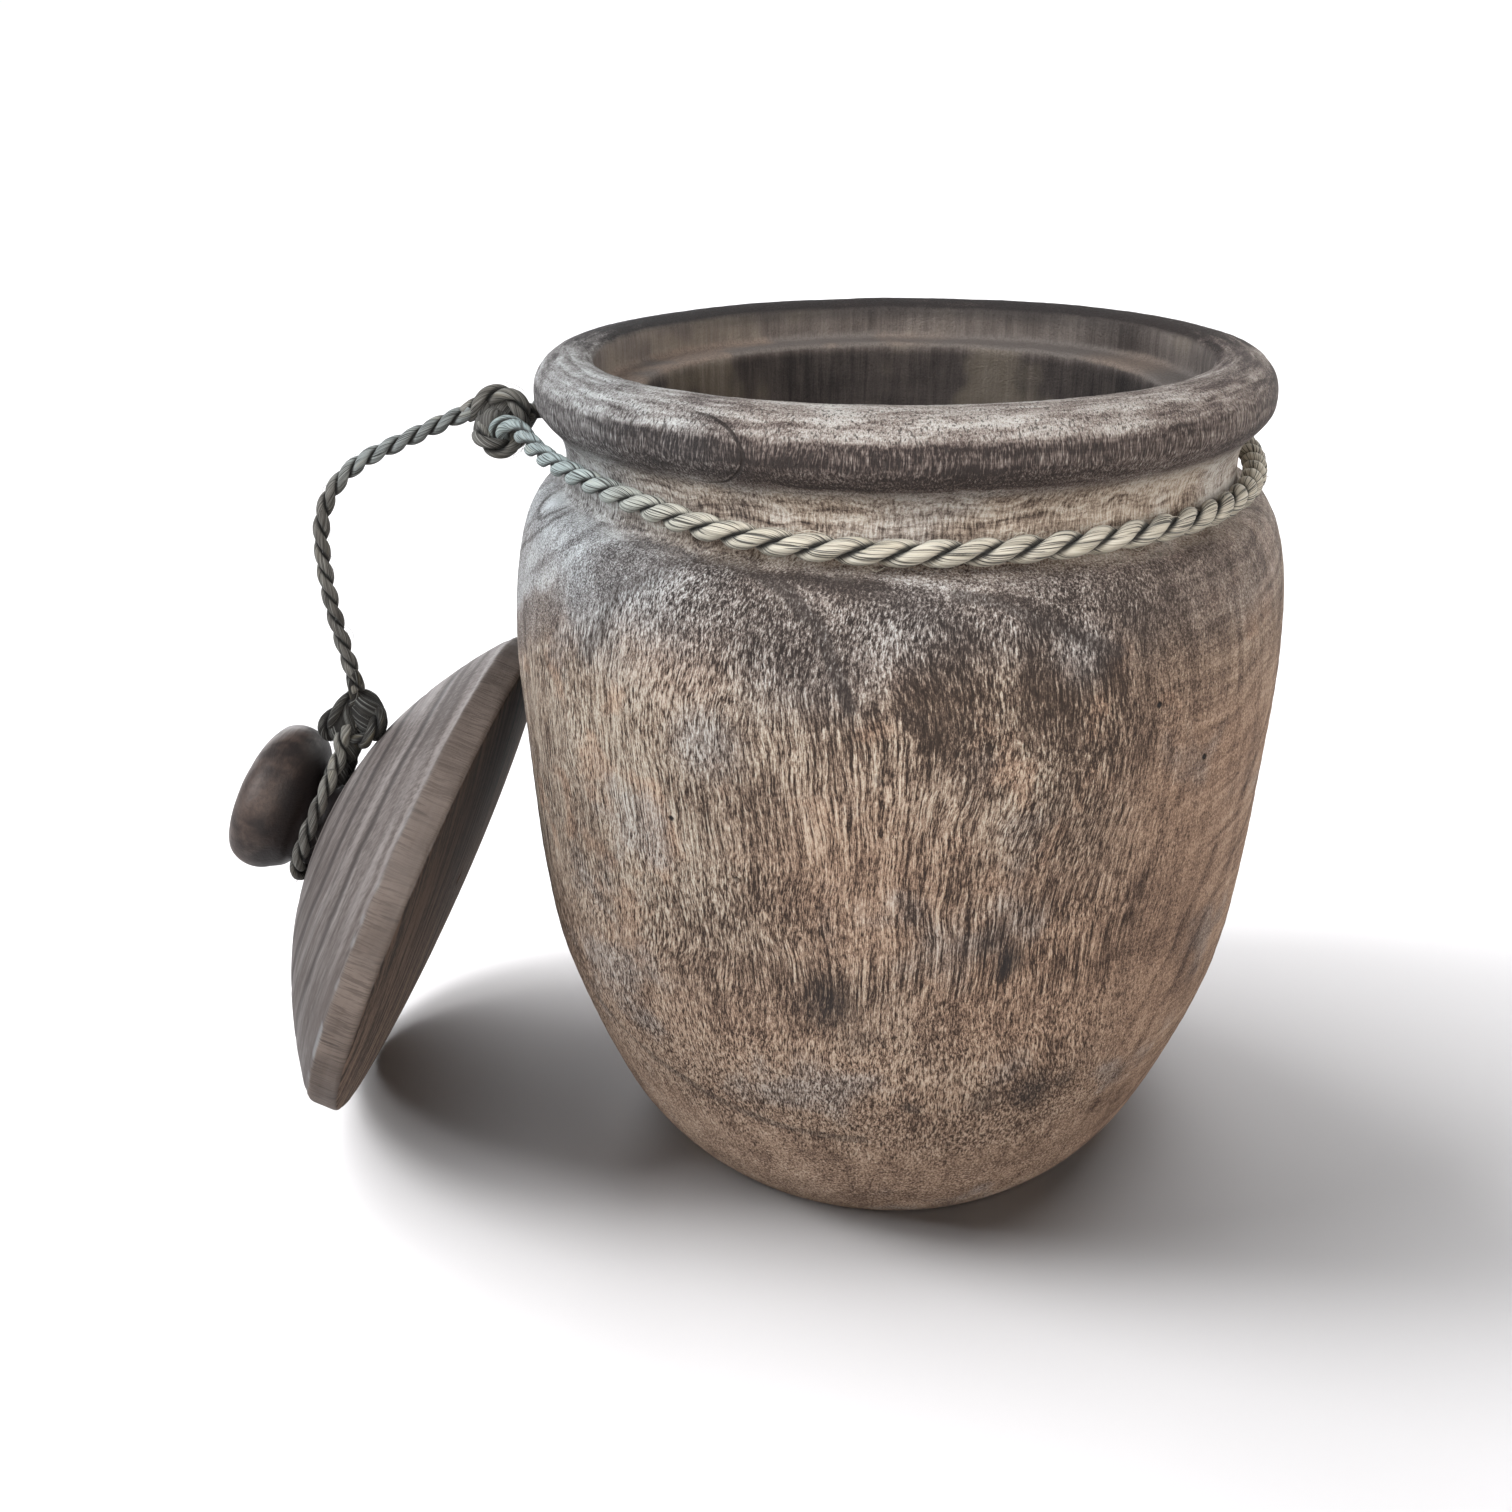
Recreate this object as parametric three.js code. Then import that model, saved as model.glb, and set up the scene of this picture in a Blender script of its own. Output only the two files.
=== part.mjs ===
// A turned wooden pot with a loose domed lid. The lid leans on its edge against the pot, tied
// to it by one length of twisted cord: looped round the pot's neck, knotted, run free for about
// 96 mm, knotted again and looped round the stem of the lid's knob.
// Millimetres, +Z up, origin at the centre of the pot's flat base.
import * as THREE from 'three';

// ---- driving dimensions -------------------------------------------------------------------
const RIM_R = 85; // outer radius of the rounded rim bead
const BELLY_R = 93.6; // greatest radius of the body
const BASE_R = 61.2; // flat standing face
const NECK_R = 78.6; // groove under the rim that holds the cord
const POT_H = 206.4; // top of the rim
const MOUTH_R = 70.9; // recess that receives the lid
const LEDGE_R = 60.9; // inner edge of the ledge the lid sits on
const LEDGE_Z = 196.6; // height of that ledge
const FLOOR_Z = 22; // inside bottom of the cavity

const LID_R = 69.0; // lid disc, 1.9 mm clear of the recess wall
const LID_EDGE = 8.0; // height of the lid's upright edge
const DOME_H = 27.0; // rise of the dome above that edge
const DOME_POWER = 2.1; // fullness of the dome
const TENON_R = 6.0; // knob's glued tenon
const TENON_HOLE_R = 6.35;
const TENON_BOTTOM = 22.4; // above the lid's underside
const KNOB_R = 20.6;
const STEM_R = 12.1; // waist of the knob that the cord goes round
const KNOB_OFFSET = [2.1, 1.4]; // hand-made eccentricity of the knob's head

const LEAN = 23.85; // degrees between the lid's plane and upright
const LID_X = -121.2; // centre of the lid's underside, as it leans against the belly
const LID_Y = -8.5;

const NECK_CORD_R = 2.6; // radius of the cord round the neck
const CORD_R = 2.1; // radius of the drawn-out cord between the knots
const KNOT_R = 7.4;

const POT_SEGMENTS = 64;
const LID_SEGMENTS = 64;
const KNOB_SEGMENTS = 32;

// ---- helpers ------------------------------------------------------------------------------
const v2 = (p) => new THREE.Vector2(p[0], p[1]);
const v3 = (p) => new THREE.Vector3(p[0], p[1], p[2]);
const rad = THREE.MathUtils.degToRad;

// body of revolution about +Z from [radius, height] pairs
function turned(profile, segments) {
  const g = new THREE.LatheGeometry(profile.map(v2), segments);
  g.rotateX(Math.PI / 2);
  return g;
}

// round cord of constant radius along a smooth curve through the points
function cord(points, radius, sides, steps) {
  const curve = new THREE.CatmullRomCurve3(points.map(v3), false, 'centripetal');
  const ring = [];
  for (let i = 0; i < sides; i++) {
    const a = (2 * Math.PI * i) / sides;
    ring.push(new THREE.Vector2(radius * Math.cos(a), radius * Math.sin(a)));
  }
  return new THREE.ExtrudeGeometry(new THREE.Shape(ring), {
    steps, bevelEnabled: false, extrudePath: curve,
  });
}

// a tied knot as one rounded lump with shallow lobes
function knotLump(rx, ry, rz) {
  const g = new THREE.SphereGeometry(1, 20, 14);
  const p = g.attributes.position;
  const v = new THREE.Vector3();
  for (let i = 0; i < p.count; i++) {
    v.fromBufferAttribute(p, i);
    const k = 1 + 0.05 * Math.sin(3 * v.x + 1.1) * Math.cos(3 * v.y) + 0.04 * Math.cos(4 * v.z);
    p.setXYZ(i, v.x * rx * k, v.y * ry * k, v.z * rz * k);
  }
  return g;
}

function mesh(name, geometry, color, roughness) {
  const m = new THREE.Mesh(geometry, new THREE.MeshStandardMaterial({ color, roughness, metalness: 0 }));
  m.name = name;
  return m;
}

// ---- pot ----------------------------------------------------------------------------------
const outside = [
  [0, 0], [BASE_R, 0], [62.9, 0.8], [64.7, 2.8], [67.6, 6.0], [70.8, 10.6], [74.6, 17.2],
  [77.9, 25.0], [81.0, 33.2], [83.8, 41.6], [86.6, 50.5], [89.0, 59.9], [90.4, 68.5],
  [91.5, 79.0], [92.6, 99.0], [93.3, 119.8], [BELLY_R, 134], [93.2, 146], [92.3, 154.9],
  [91.1, 161.4], [89.4, 167.3], [87.6, 171.0], [85.2, 174.0], [82.6, 175.6], [80.5, 176.7],
  [79.2, 178.4], [78.7, 180.8], [NECK_R, 183.8], [78.8, 186.4], [79.7, 188.9], [81.4, 191.2],
  [83.3, 193.2], [84.6, 195.3], [RIM_R, 197.6], [84.7, 200.3], [83.7, 202.6], [81.9, 204.6],
  [79.4, 205.9], [76.6, POT_H], [73.9, 206.1], [71.9, 205.5], [MOUTH_R, 204.7],
];
const inside = [
  [MOUTH_R, 197.8], [70.4, 197.0], [69.4, LEDGE_Z], [62.2, LEDGE_Z], [61.3, 196.2],
  [LEDGE_R, 195.2], [LEDGE_R, 176], [61.8, 164], [64.2, 148], [66.0, 130], [66.2, 112],
  [65.2, 90], [62.2, 68], [57.0, 50], [48.5, 35], [36.0, 26], [20.0, 22.6], [0, FLOOR_Z],
];
const pot = mesh('pot_body', turned([...outside, ...inside], POT_SEGMENTS), 0x7d6c5e, 0.85);

// ---- lid and knob, in the lid's own frame: +Z along its axis, underside at z = 0 ------------
const domeZ = (r) => LID_EDGE + DOME_H * (1 - (r / LID_R) ** DOME_POWER);
const lidProfile = [
  [0, 0], [20, 0], [45, 0], [68.3, 0], [LID_R - 0.1, 0.5], [LID_R, 1.6], [LID_R, 7.4], [68.7, 8.2],
];
for (const r of [66.5, 63, 58, 52, 45, 37, 28, 19, 12, TENON_HOLE_R]) lidProfile.push([r, domeZ(r)]);
lidProfile.push([TENON_HOLE_R, TENON_BOTTOM - 0.4], [0, TENON_BOTTOM - 0.4]);
const lid = mesh('lid', turned(lidProfile, LID_SEGMENTS), 0x6d6058, 0.8);

const knobGeometry = turned([
  [0, TENON_BOTTOM], [TENON_R, TENON_BOTTOM], [TENON_R, domeZ(TENON_R) + 0.4],
  [STEM_R, domeZ(STEM_R) + 0.4], [STEM_R - 0.2, 36.4], [STEM_R, 38.8], [13.6, 40.7],
  [16.4, 42.4], [18.8, 44.8], [20.2, 47.6], [KNOB_R, 50.2], [20.1, 53.0], [18.7, 55.3],
  [16.2, 57.1], [12.8, 58.2], [8.6, 58.7], [4, 58.9], [0, 58.9],
], KNOB_SEGMENTS);
{
  // the head sits a little off the axis of its stem
  const p = knobGeometry.attributes.position;
  for (let i = 0; i < p.count; i++) {
    const k = THREE.MathUtils.smoothstep(p.getZ(i), 36.0, 44.0);
    p.setXYZ(i, p.getX(i) + k * KNOB_OFFSET[0], p.getY(i) + k * KNOB_OFFSET[1], p.getZ(i));
  }
}
const knob = mesh('lid_knob', knobGeometry, 0x4a3f38, 0.7);

// cord round the knob's waist: a teardrop whose legs meet at the knot above
const LOOP_Z = 37.0;
const knobLoop = mesh('knob_rope_loop', cord([
  [28.5, -2.7, LOOP_Z + 0.2], [21.5, -6.4, LOOP_Z + 0.1], [14.5, -10.2, LOOP_Z],
  [8.4, -13.3, LOOP_Z], [2.0, -14.9, LOOP_Z], [-5.2, -14.1, LOOP_Z], [-11.4, -9.8, LOOP_Z],
  [-14.7, -3.2, LOOP_Z], [-14.7, 3.2, LOOP_Z], [-11.4, 9.8, LOOP_Z], [-5.2, 14.1, LOOP_Z],
  [2.0, 14.9, LOOP_Z], [8.4, 13.3, LOOP_Z], [14.5, 10.2, LOOP_Z], [21.5, 6.4, LOOP_Z + 0.1],
  [28.5, 2.7, LOOP_Z + 0.2],
], CORD_R, 8, 32), 0x6f7264, 0.9);

const knobKnot = mesh('knob_knot', knotLump(7.0, 7.0, 6.6), 0x5a5b50, 0.9);
knobKnot.position.set(35.8, 0.3, 37.6);

const lidGroup = new THREE.Group();
lidGroup.add(lid, knob, knobLoop, knobKnot);
lidGroup.rotation.y = -(Math.PI / 2 - rad(LEAN));
// the lowest corner of the edge stands exactly on the ground
lidGroup.position.set(LID_X, LID_Y, (LID_R - 0.1) * Math.cos(rad(LEAN)) - 0.5 * Math.sin(rad(LEAN)));

// ---- cord round the neck: [angle, radius, height], angle 0 along +X ------------------------
const neckRoute = [
  [-174.1, 90.5, 188.2], [-171, 89.2, 188.1], [-166, 87.7, 187.9], [-159, 86.2, 187.6],
  [-152, 84.9, 187.1], [-145, 83.8, 186.5], [-138, 82.9, 185.7], [-128, 82.2, 184.2],
  [-117, 82.1, 182.3], [-105, 82.2, 181.0], [-93, 82.4, 180.4], [-82, 82.5, 180.2],
  [-71, 82.4, 180.3], [-60, 82.3, 180.4], [-45, 82.4, 180.3], [-30, 82.4, 180.4],
  [-15, 82.4, 180.8], [0, 82.6, 182.0], [15, 82.7, 183.6], [35, 82.5, 185.0], [60, 82.5, 185.7],
  [90, 82.5, 185.9], [120, 82.5, 186.2], [138, 82.6, 186.7], [150, 83.0, 187.1],
  [160, 84.9, 187.5], [168, 87.5, 187.9], [173, 89.8, 188.2], [176.4, 91.9, 188.4],
];
const neckRope = mesh('neck_rope', cord(
  neckRoute.map(([a, r, z]) => [r * Math.cos(rad(a)), r * Math.sin(rad(a)), z]),
  NECK_CORD_R, 8, 78), 0xa3a595, 0.9);

const neckKnot = mesh('neck_knot', knotLump(7.2, KNOT_R, 7.8), 0x6a6d62, 0.9);
neckKnot.position.set(-94.6, -2.4, 188.2);

// ---- free cord from the neck knot, out over the air and down to the knob's knot -------------
const tetherRoute = [
  [-102.6, -2.9, 190.0], [-106.6, -3.0, 188.8], [-112.5, -3.2, 186.4], [-118.8, -3.5, 183.7],
  [-125.2, -4.0, 181.0], [-131.5, -4.6, 178.0], [-137.0, -5.2, 173.8], [-141.2, -5.8, 168.4],
  [-143.5, -6.3, 162.0], [-144.1, -6.8, 155.2], [-143.9, -7.3, 148.2], [-143.2, -7.8, 140.8],
  [-142.0, -8.2, 133.4], [-140.6, -8.5, 126.0], [-139.2, -8.7, 118.1],
];
const tether = mesh('tether_rope', cord(tetherRoute, CORD_R, 8, 26), 0x77796c, 0.9);

// ---- the whole object ----------------------------------------------------------------------
const object = new THREE.Group();
object.name = 'lidded_wooden_pot';
object.add(pot, neckRope, neckKnot, tether, lidGroup);

export default object;
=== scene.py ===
import math

import bpy
import numpy as np
from mathutils import Matrix, Vector


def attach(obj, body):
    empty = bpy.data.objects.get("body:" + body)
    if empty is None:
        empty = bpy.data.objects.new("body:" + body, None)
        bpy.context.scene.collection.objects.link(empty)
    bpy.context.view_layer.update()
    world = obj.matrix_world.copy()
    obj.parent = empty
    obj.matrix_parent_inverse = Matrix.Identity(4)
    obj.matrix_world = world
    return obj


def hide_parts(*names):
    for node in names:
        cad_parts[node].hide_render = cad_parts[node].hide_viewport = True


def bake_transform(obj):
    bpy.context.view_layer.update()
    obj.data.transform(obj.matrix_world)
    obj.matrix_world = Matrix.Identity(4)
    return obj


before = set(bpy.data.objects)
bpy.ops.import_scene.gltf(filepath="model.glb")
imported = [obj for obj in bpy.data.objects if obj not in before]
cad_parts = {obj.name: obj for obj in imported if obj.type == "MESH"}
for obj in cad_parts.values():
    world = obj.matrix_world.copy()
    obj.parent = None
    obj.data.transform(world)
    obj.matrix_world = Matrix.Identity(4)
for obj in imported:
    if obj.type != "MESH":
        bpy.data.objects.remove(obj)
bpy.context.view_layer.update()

MM = 0.001


# ------------------------------------------------------------------------------------ camera
def make_camera():
    pitch, yaw, roll = 0.440265, -0.1025235, -0.0146961
    fwd = Vector((math.sin(yaw) * math.cos(pitch), math.cos(yaw) * math.cos(pitch), -math.sin(pitch)))
    right = Vector((math.cos(yaw), -math.sin(yaw), 0.0))
    up = right.cross(fwd)
    r2 = math.cos(roll) * right + math.sin(roll) * up
    u2 = -math.sin(roll) * right + math.cos(roll) * up
    data = bpy.data.cameras.new("camera")
    data.sensor_width = 36.0
    data.lens = 33.30
    data.clip_start = 0.01
    cam = bpy.data.objects.new("camera", data)
    m = Matrix((r2, u2, -fwd)).transposed().to_4x4()
    m.translation = Vector((0.0, -0.338196, 0.258344))
    cam.matrix_world = m
    bpy.context.scene.collection.objects.link(cam)
    bpy.context.scene.camera = cam


make_camera()


# ------------------------------------------------------------------------------- curve tools
def catmull(points, step, closed=False):
    """centripetal Catmull-Rom through the points, resampled at even steps of arc length"""
    p = np.array(points, float)
    if closed:
        p = np.vstack([p[-1], p, p[0], p[1]])
    else:
        p = np.vstack([2 * p[0] - p[1], p, 2 * p[-1] - p[-2]])
    out = []
    for i in range(1, len(p) - 2):
        q = p[i - 1:i + 3]
        t = np.cumsum([0.0] + [max(np.linalg.norm(q[k + 1] - q[k]) ** 0.5, 1e-5) for k in range(3)])
        u = np.linspace(t[1], t[2], 24, endpoint=False)[:, None]
        a1 = (t[1] - u) / (t[1] - t[0]) * q[0] + (u - t[0]) / (t[1] - t[0]) * q[1]
        a2 = (t[2] - u) / (t[2] - t[1]) * q[1] + (u - t[1]) / (t[2] - t[1]) * q[2]
        a3 = (t[3] - u) / (t[3] - t[2]) * q[2] + (u - t[2]) / (t[3] - t[2]) * q[3]
        b1 = (t[2] - u) / (t[2] - t[0]) * a1 + (u - t[0]) / (t[2] - t[0]) * a2
        b2 = (t[3] - u) / (t[3] - t[1]) * a2 + (u - t[1]) / (t[3] - t[1]) * a3
        out.append((t[2] - u) / (t[2] - t[1]) * b1 + (u - t[1]) / (t[2] - t[1]) * b2)
    out = np.vstack(out + [p[-2][None]])
    s = np.r_[0, np.cumsum(np.linalg.norm(np.diff(out, axis=0), axis=1))]
    n = max(4, int(round(s[-1] / step)))
    q = np.linspace(0, s[-1], n + 1)
    path = np.stack([np.interp(q, s, out[:, k]) for k in range(3)], 1)
    return path, q


def carried_frames(path, closed=False):
    """tangent and two normals carried along the path with no twist of their own"""
    if closed:
        t = np.roll(path[:-1], -1, 0) - np.roll(path[:-1], 1, 0)
        t = np.vstack([t, t[0]])
    else:
        t = np.gradient(path, axis=0)
    t /= np.linalg.norm(t, axis=1)[:, None]
    n = np.zeros_like(t)
    first = np.cross(t[0], [0.0, 0.0, 1.0])
    if np.linalg.norm(first) < 0.2:
        first = np.cross(t[0], [0.0, 1.0, 0.0])
    n[0] = first / np.linalg.norm(first)
    for i in range(1, len(t)):
        v = n[i - 1] - t[i] * np.dot(n[i - 1], t[i])
        n[i] = v / np.linalg.norm(v)
    b = np.cross(t, n)
    if closed:
        left = math.atan2(np.dot(np.cross(n[-1], n[0]), t[0]), np.dot(n[-1], n[0]))
        a = (left * np.linspace(0, 1, len(t)))[:, None]
        n, b = np.cos(a) * n + np.sin(a) * b, -np.sin(a) * n + np.cos(a) * b
    return t, n, b


def hash_noise(p, seed=0):
    """smooth gradient noise of points, about -1 to 1"""
    p = np.asarray(p, float)
    base = np.floor(p).astype(np.int64)
    f = p - base
    w = f * f * f * (f * (f * 6 - 15) + 10)
    total = np.zeros(len(p))
    for dx in (0, 1):
        for dy in (0, 1):
            for dz in (0, 1):
                c = base + (dx, dy, dz)
                h = (c[:, 0] * 374761393 + c[:, 1] * 668265263 + c[:, 2] * 1440662683 + seed * 974634777) & 0x7FFFFFFF
                h = ((h ^ (h >> 13)) * 1274126177) & 0x7FFFFFFF
                h ^= h >> 16
                ang = (h & 0xFFFF) / 65536.0 * 2 * math.pi
                z = ((h >> 8) & 0x3FFF) / 16384.0 * 2 - 1
                k = np.sqrt(np.maximum(0, 1 - z * z))
                g = (k * np.cos(ang)) * (f[:, 0] - dx) + (k * np.sin(ang)) * (f[:, 1] - dy) + z * (f[:, 2] - dz)
                wx = w[:, 0] if dx else 1 - w[:, 0]
                wy = w[:, 1] if dy else 1 - w[:, 1]
                wz = w[:, 2] if dz else 1 - w[:, 2]
                total += g * wx * wy * wz
    return total * 1.6


def ramp(x, lo, hi):
    k = np.clip((np.asarray(x, float) - lo) / (hi - lo), 0, 1)
    return k * k * (3 - 2 * k)


# -------------------------------------------------------------------------------- mesh tools
def add_mesh(name, verts_mm, faces, material, attributes=None, matrix=None):
    mesh = bpy.data.meshes.new(name)
    mesh.from_pydata((np.asarray(verts_mm) * MM).tolist(), [], faces)
    mesh.polygons.foreach_set("use_smooth", np.ones(len(mesh.polygons), bool))
    for key, values in (attributes or {}).items():
        if values.ndim == 1:
            mesh.attributes.new(key, "FLOAT", "POINT").data.foreach_set("value", values.astype(np.float32))
        else:
            mesh.attributes.new(key, "FLOAT_VECTOR", "POINT").data.foreach_set(
                "vector", values.astype(np.float32).ravel())
    mesh.materials.append(material)
    mesh.update()
    obj = bpy.data.objects.new(name, mesh)
    bpy.context.scene.collection.objects.link(obj)
    if matrix is not None:
        obj.matrix_world = matrix
    return obj


def grid_faces(rows, cols, start=0, wrap_rows=False):
    i = np.arange(rows if wrap_rows else rows - 1)[:, None]
    j = np.arange(cols)[None, :]
    a = i * cols + j
    b = i * cols + (j + 1) % cols
    c = ((i + 1) % rows) * cols + (j + 1) % cols
    d = ((i + 1) % rows) * cols + j
    return (np.stack([a, b, c, d], -1).reshape(-1, 4) + start).tolist()


def smooth_profile(points, step):
    """resamples a [radius, height] outline; step is a function of radius, height and the outline's length so far"""
    p = np.array(points, float)
    path, _ = catmull(np.c_[p, np.zeros(len(p))], 0.15)
    s = np.r_[0, np.cumsum(np.linalg.norm(np.diff(path, axis=0), axis=1))]
    at = [0.0]
    while at[-1] < s[-1]:
        r = np.interp(at[-1], s, path[:, 0])
        z = np.interp(at[-1], s, path[:, 1])
        at.append(at[-1] + step(r, z, at[-1]))
    at = np.array(at) * (s[-1] / at[-1])
    return np.stack([np.interp(at, s, path[:, 0]), np.interp(at, s, path[:, 1])], 1)


def turned(profile, segments, start_pole, end_pole):
    """grid of a turned solid with its outward normals; poles close it at the axis"""
    a = np.linspace(0, 2 * math.pi, segments, endpoint=False)
    tangent = np.gradient(profile, axis=0)
    tangent /= np.linalg.norm(tangent, axis=1)[:, None] + 1e-12
    nr, nz = tangent[:, 1], -tangent[:, 0]
    r, z = profile[:, 0], profile[:, 1]
    verts = np.stack([r[:, None] * np.cos(a), r[:, None] * np.sin(a), np.repeat(z[:, None], segments, 1)], -1)
    norms = np.stack([nr[:, None] * np.cos(a), nr[:, None] * np.sin(a), np.repeat(nz[:, None], segments, 1)], -1)
    verts, norms = verts.reshape(-1, 3), norms.reshape(-1, 3)
    faces = grid_faces(len(profile), segments)
    extra = []
    if start_pole is not None:
        k = len(verts)
        extra.append((0.0, 0.0, start_pole))
        faces += [[k, (j + 1) % segments, j] for j in range(segments)]
    if end_pole is not None:
        k = len(verts) + len(extra)
        last = (len(profile) - 1) * segments
        extra.append((0.0, 0.0, end_pole))
        faces += [[k, last + j, last + (j + 1) % segments] for j in range(segments)]
    if extra:
        verts = np.vstack([verts, extra])
        norms = np.vstack([norms, np.zeros((len(extra), 3))])
    return verts, norms, faces


# ---------------------------------------------------------------------------- material tools
class Val:
    """a socket that takes part in sums"""

    def __init__(self, g, sock):
        self.g, self.s = g, sock

    def __add__(self, o):
        return self.g.math("ADD", self, o)

    __radd__ = __add__

    def __sub__(self, o):
        return self.g.math("SUBTRACT", self, o)

    def __rsub__(self, o):
        return self.g.math("SUBTRACT", o, self)

    def __mul__(self, o):
        return self.g.math("MULTIPLY", self, o)

    __rmul__ = __mul__

    def __truediv__(self, o):
        return self.g.math("DIVIDE", self, o)


class Graph:
    def __init__(self, name):
        self.mat = bpy.data.materials.new(name)
        self.mat.use_nodes = True
        self.nt = self.mat.node_tree
        self.nt.nodes.clear()

    def node(self, kind, **props):
        n = self.nt.nodes.new(kind)
        for k, v in props.items():
            setattr(n, k, v)
        return n

    def plug(self, sock, v):
        if isinstance(v, Val):
            self.nt.links.new(v.s, sock)
        elif v is not None:
            if hasattr(sock.default_value, "__len__") and not hasattr(v, "__len__"):
                v = [v] * len(sock.default_value)
            elif hasattr(v, "__len__") and len(v) == 3 and len(sock.default_value) == 4:
                v = (*v, 1.0)
            sock.default_value = v

    def math(self, op, a, b=None, clamp=False):
        n = self.node("ShaderNodeMath", operation=op, use_clamp=clamp)
        self.plug(n.inputs[0], a)
        self.plug(n.inputs[1], b)
        return Val(self, n.outputs[0])

    def vmath(self, op, a, b=None):
        n = self.node("ShaderNodeVectorMath", operation=op)
        self.plug(n.inputs[0], a)
        self.plug(n.inputs[1], b)
        return Val(self, n.outputs["Value" if op in ("DISTANCE", "LENGTH", "DOT_PRODUCT") else "Vector"])

    def step(self, x, lo, hi, a=0.0, b=1.0):
        n = self.node("ShaderNodeMapRange", interpolation_type="SMOOTHSTEP", clamp=True)
        self.plug(n.inputs["Value"], x)
        flip = lo > hi
        n.inputs["From Min"].default_value, n.inputs["From Max"].default_value = (hi, lo) if flip else (lo, hi)
        n.inputs["To Min"].default_value, n.inputs["To Max"].default_value = (b, a) if flip else (a, b)
        return Val(self, n.outputs["Result"])

    def mix(self, f, a, b, blend="MIX"):
        n = self.node("ShaderNodeMix", data_type="RGBA", blend_type=blend, clamp_factor=True)
        self.plug(n.inputs[0], f)
        self.plug(n.inputs[6], a)
        self.plug(n.inputs[7], b)
        return Val(self, n.outputs[2])

    def mixf(self, f, a, b):
        n = self.node("ShaderNodeMix", data_type="FLOAT", clamp_factor=True)
        self.plug(n.inputs[0], f)
        self.plug(n.inputs[2], a)
        self.plug(n.inputs[3], b)
        return Val(self, n.outputs[0])

    def noise(self, vec, scale=1.0, detail=2.0, rough=0.5, distortion=0.0):
        n = self.node("ShaderNodeTexNoise", noise_dimensions="3D")
        self.plug(n.inputs["Vector"], vec)
        self.plug(n.inputs["Scale"], scale)
        self.plug(n.inputs["Detail"], detail)
        self.plug(n.inputs["Roughness"], rough)
        self.plug(n.inputs["Distortion"], distortion)
        return Val(self, n.outputs["Fac"])

    def mm(self):
        """object coordinates in millimetres"""
        n = self.node("ShaderNodeTexCoord")
        return self.vmath("MULTIPLY", Val(self, n.outputs["Object"]), (1000.0, 1000.0, 1000.0))

    def split(self, vec):
        n = self.node("ShaderNodeSeparateXYZ")
        self.plug(n.inputs[0], vec)
        return [Val(self, n.outputs[k]) for k in range(3)]

    def join(self, x, y, z):
        n = self.node("ShaderNodeCombineXYZ")
        for k, v in enumerate((x, y, z)):
            self.plug(n.inputs[k], v)
        return Val(self, n.outputs[0])

    def attr(self, name, out="Fac"):
        return Val(self, self.node("ShaderNodeAttribute", attribute_name=name).outputs[out])

    def blob(self, vec, centre, inner, outer):
        """1 inside the inner radius, 0 past the outer one"""
        return self.step(self.vmath("DISTANCE", vec, centre), outer, inner)

    def bump(self, height, distance, strength=1.0, normal=None):
        n = self.node("ShaderNodeBump")
        n.inputs["Strength"].default_value = strength
        n.inputs["Distance"].default_value = distance
        self.plug(n.inputs["Height"], height)
        if normal is not None:
            self.plug(n.inputs["Normal"], normal)
        return Val(self, n.outputs[0])

    def finish(self, color, rough, normal, spec=0.35, sheen=0.0, sheen_tint=(1, 1, 1, 1)):
        n = self.node("ShaderNodeBsdfPrincipled")
        self.plug(n.inputs["Base Color"], color)
        self.plug(n.inputs["Roughness"], rough)
        self.plug(n.inputs["Normal"], normal)
        n.inputs["Specular IOR Level"].default_value = spec
        n.inputs["Sheen Weight"].default_value = sheen
        n.inputs["Sheen Roughness"].default_value = 0.5
        n.inputs["Sheen Tint"].default_value = sheen_tint
        out = self.node("ShaderNodeOutputMaterial")
        self.nt.links.new(n.outputs[0], out.inputs[0])
        return self.mat


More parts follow.
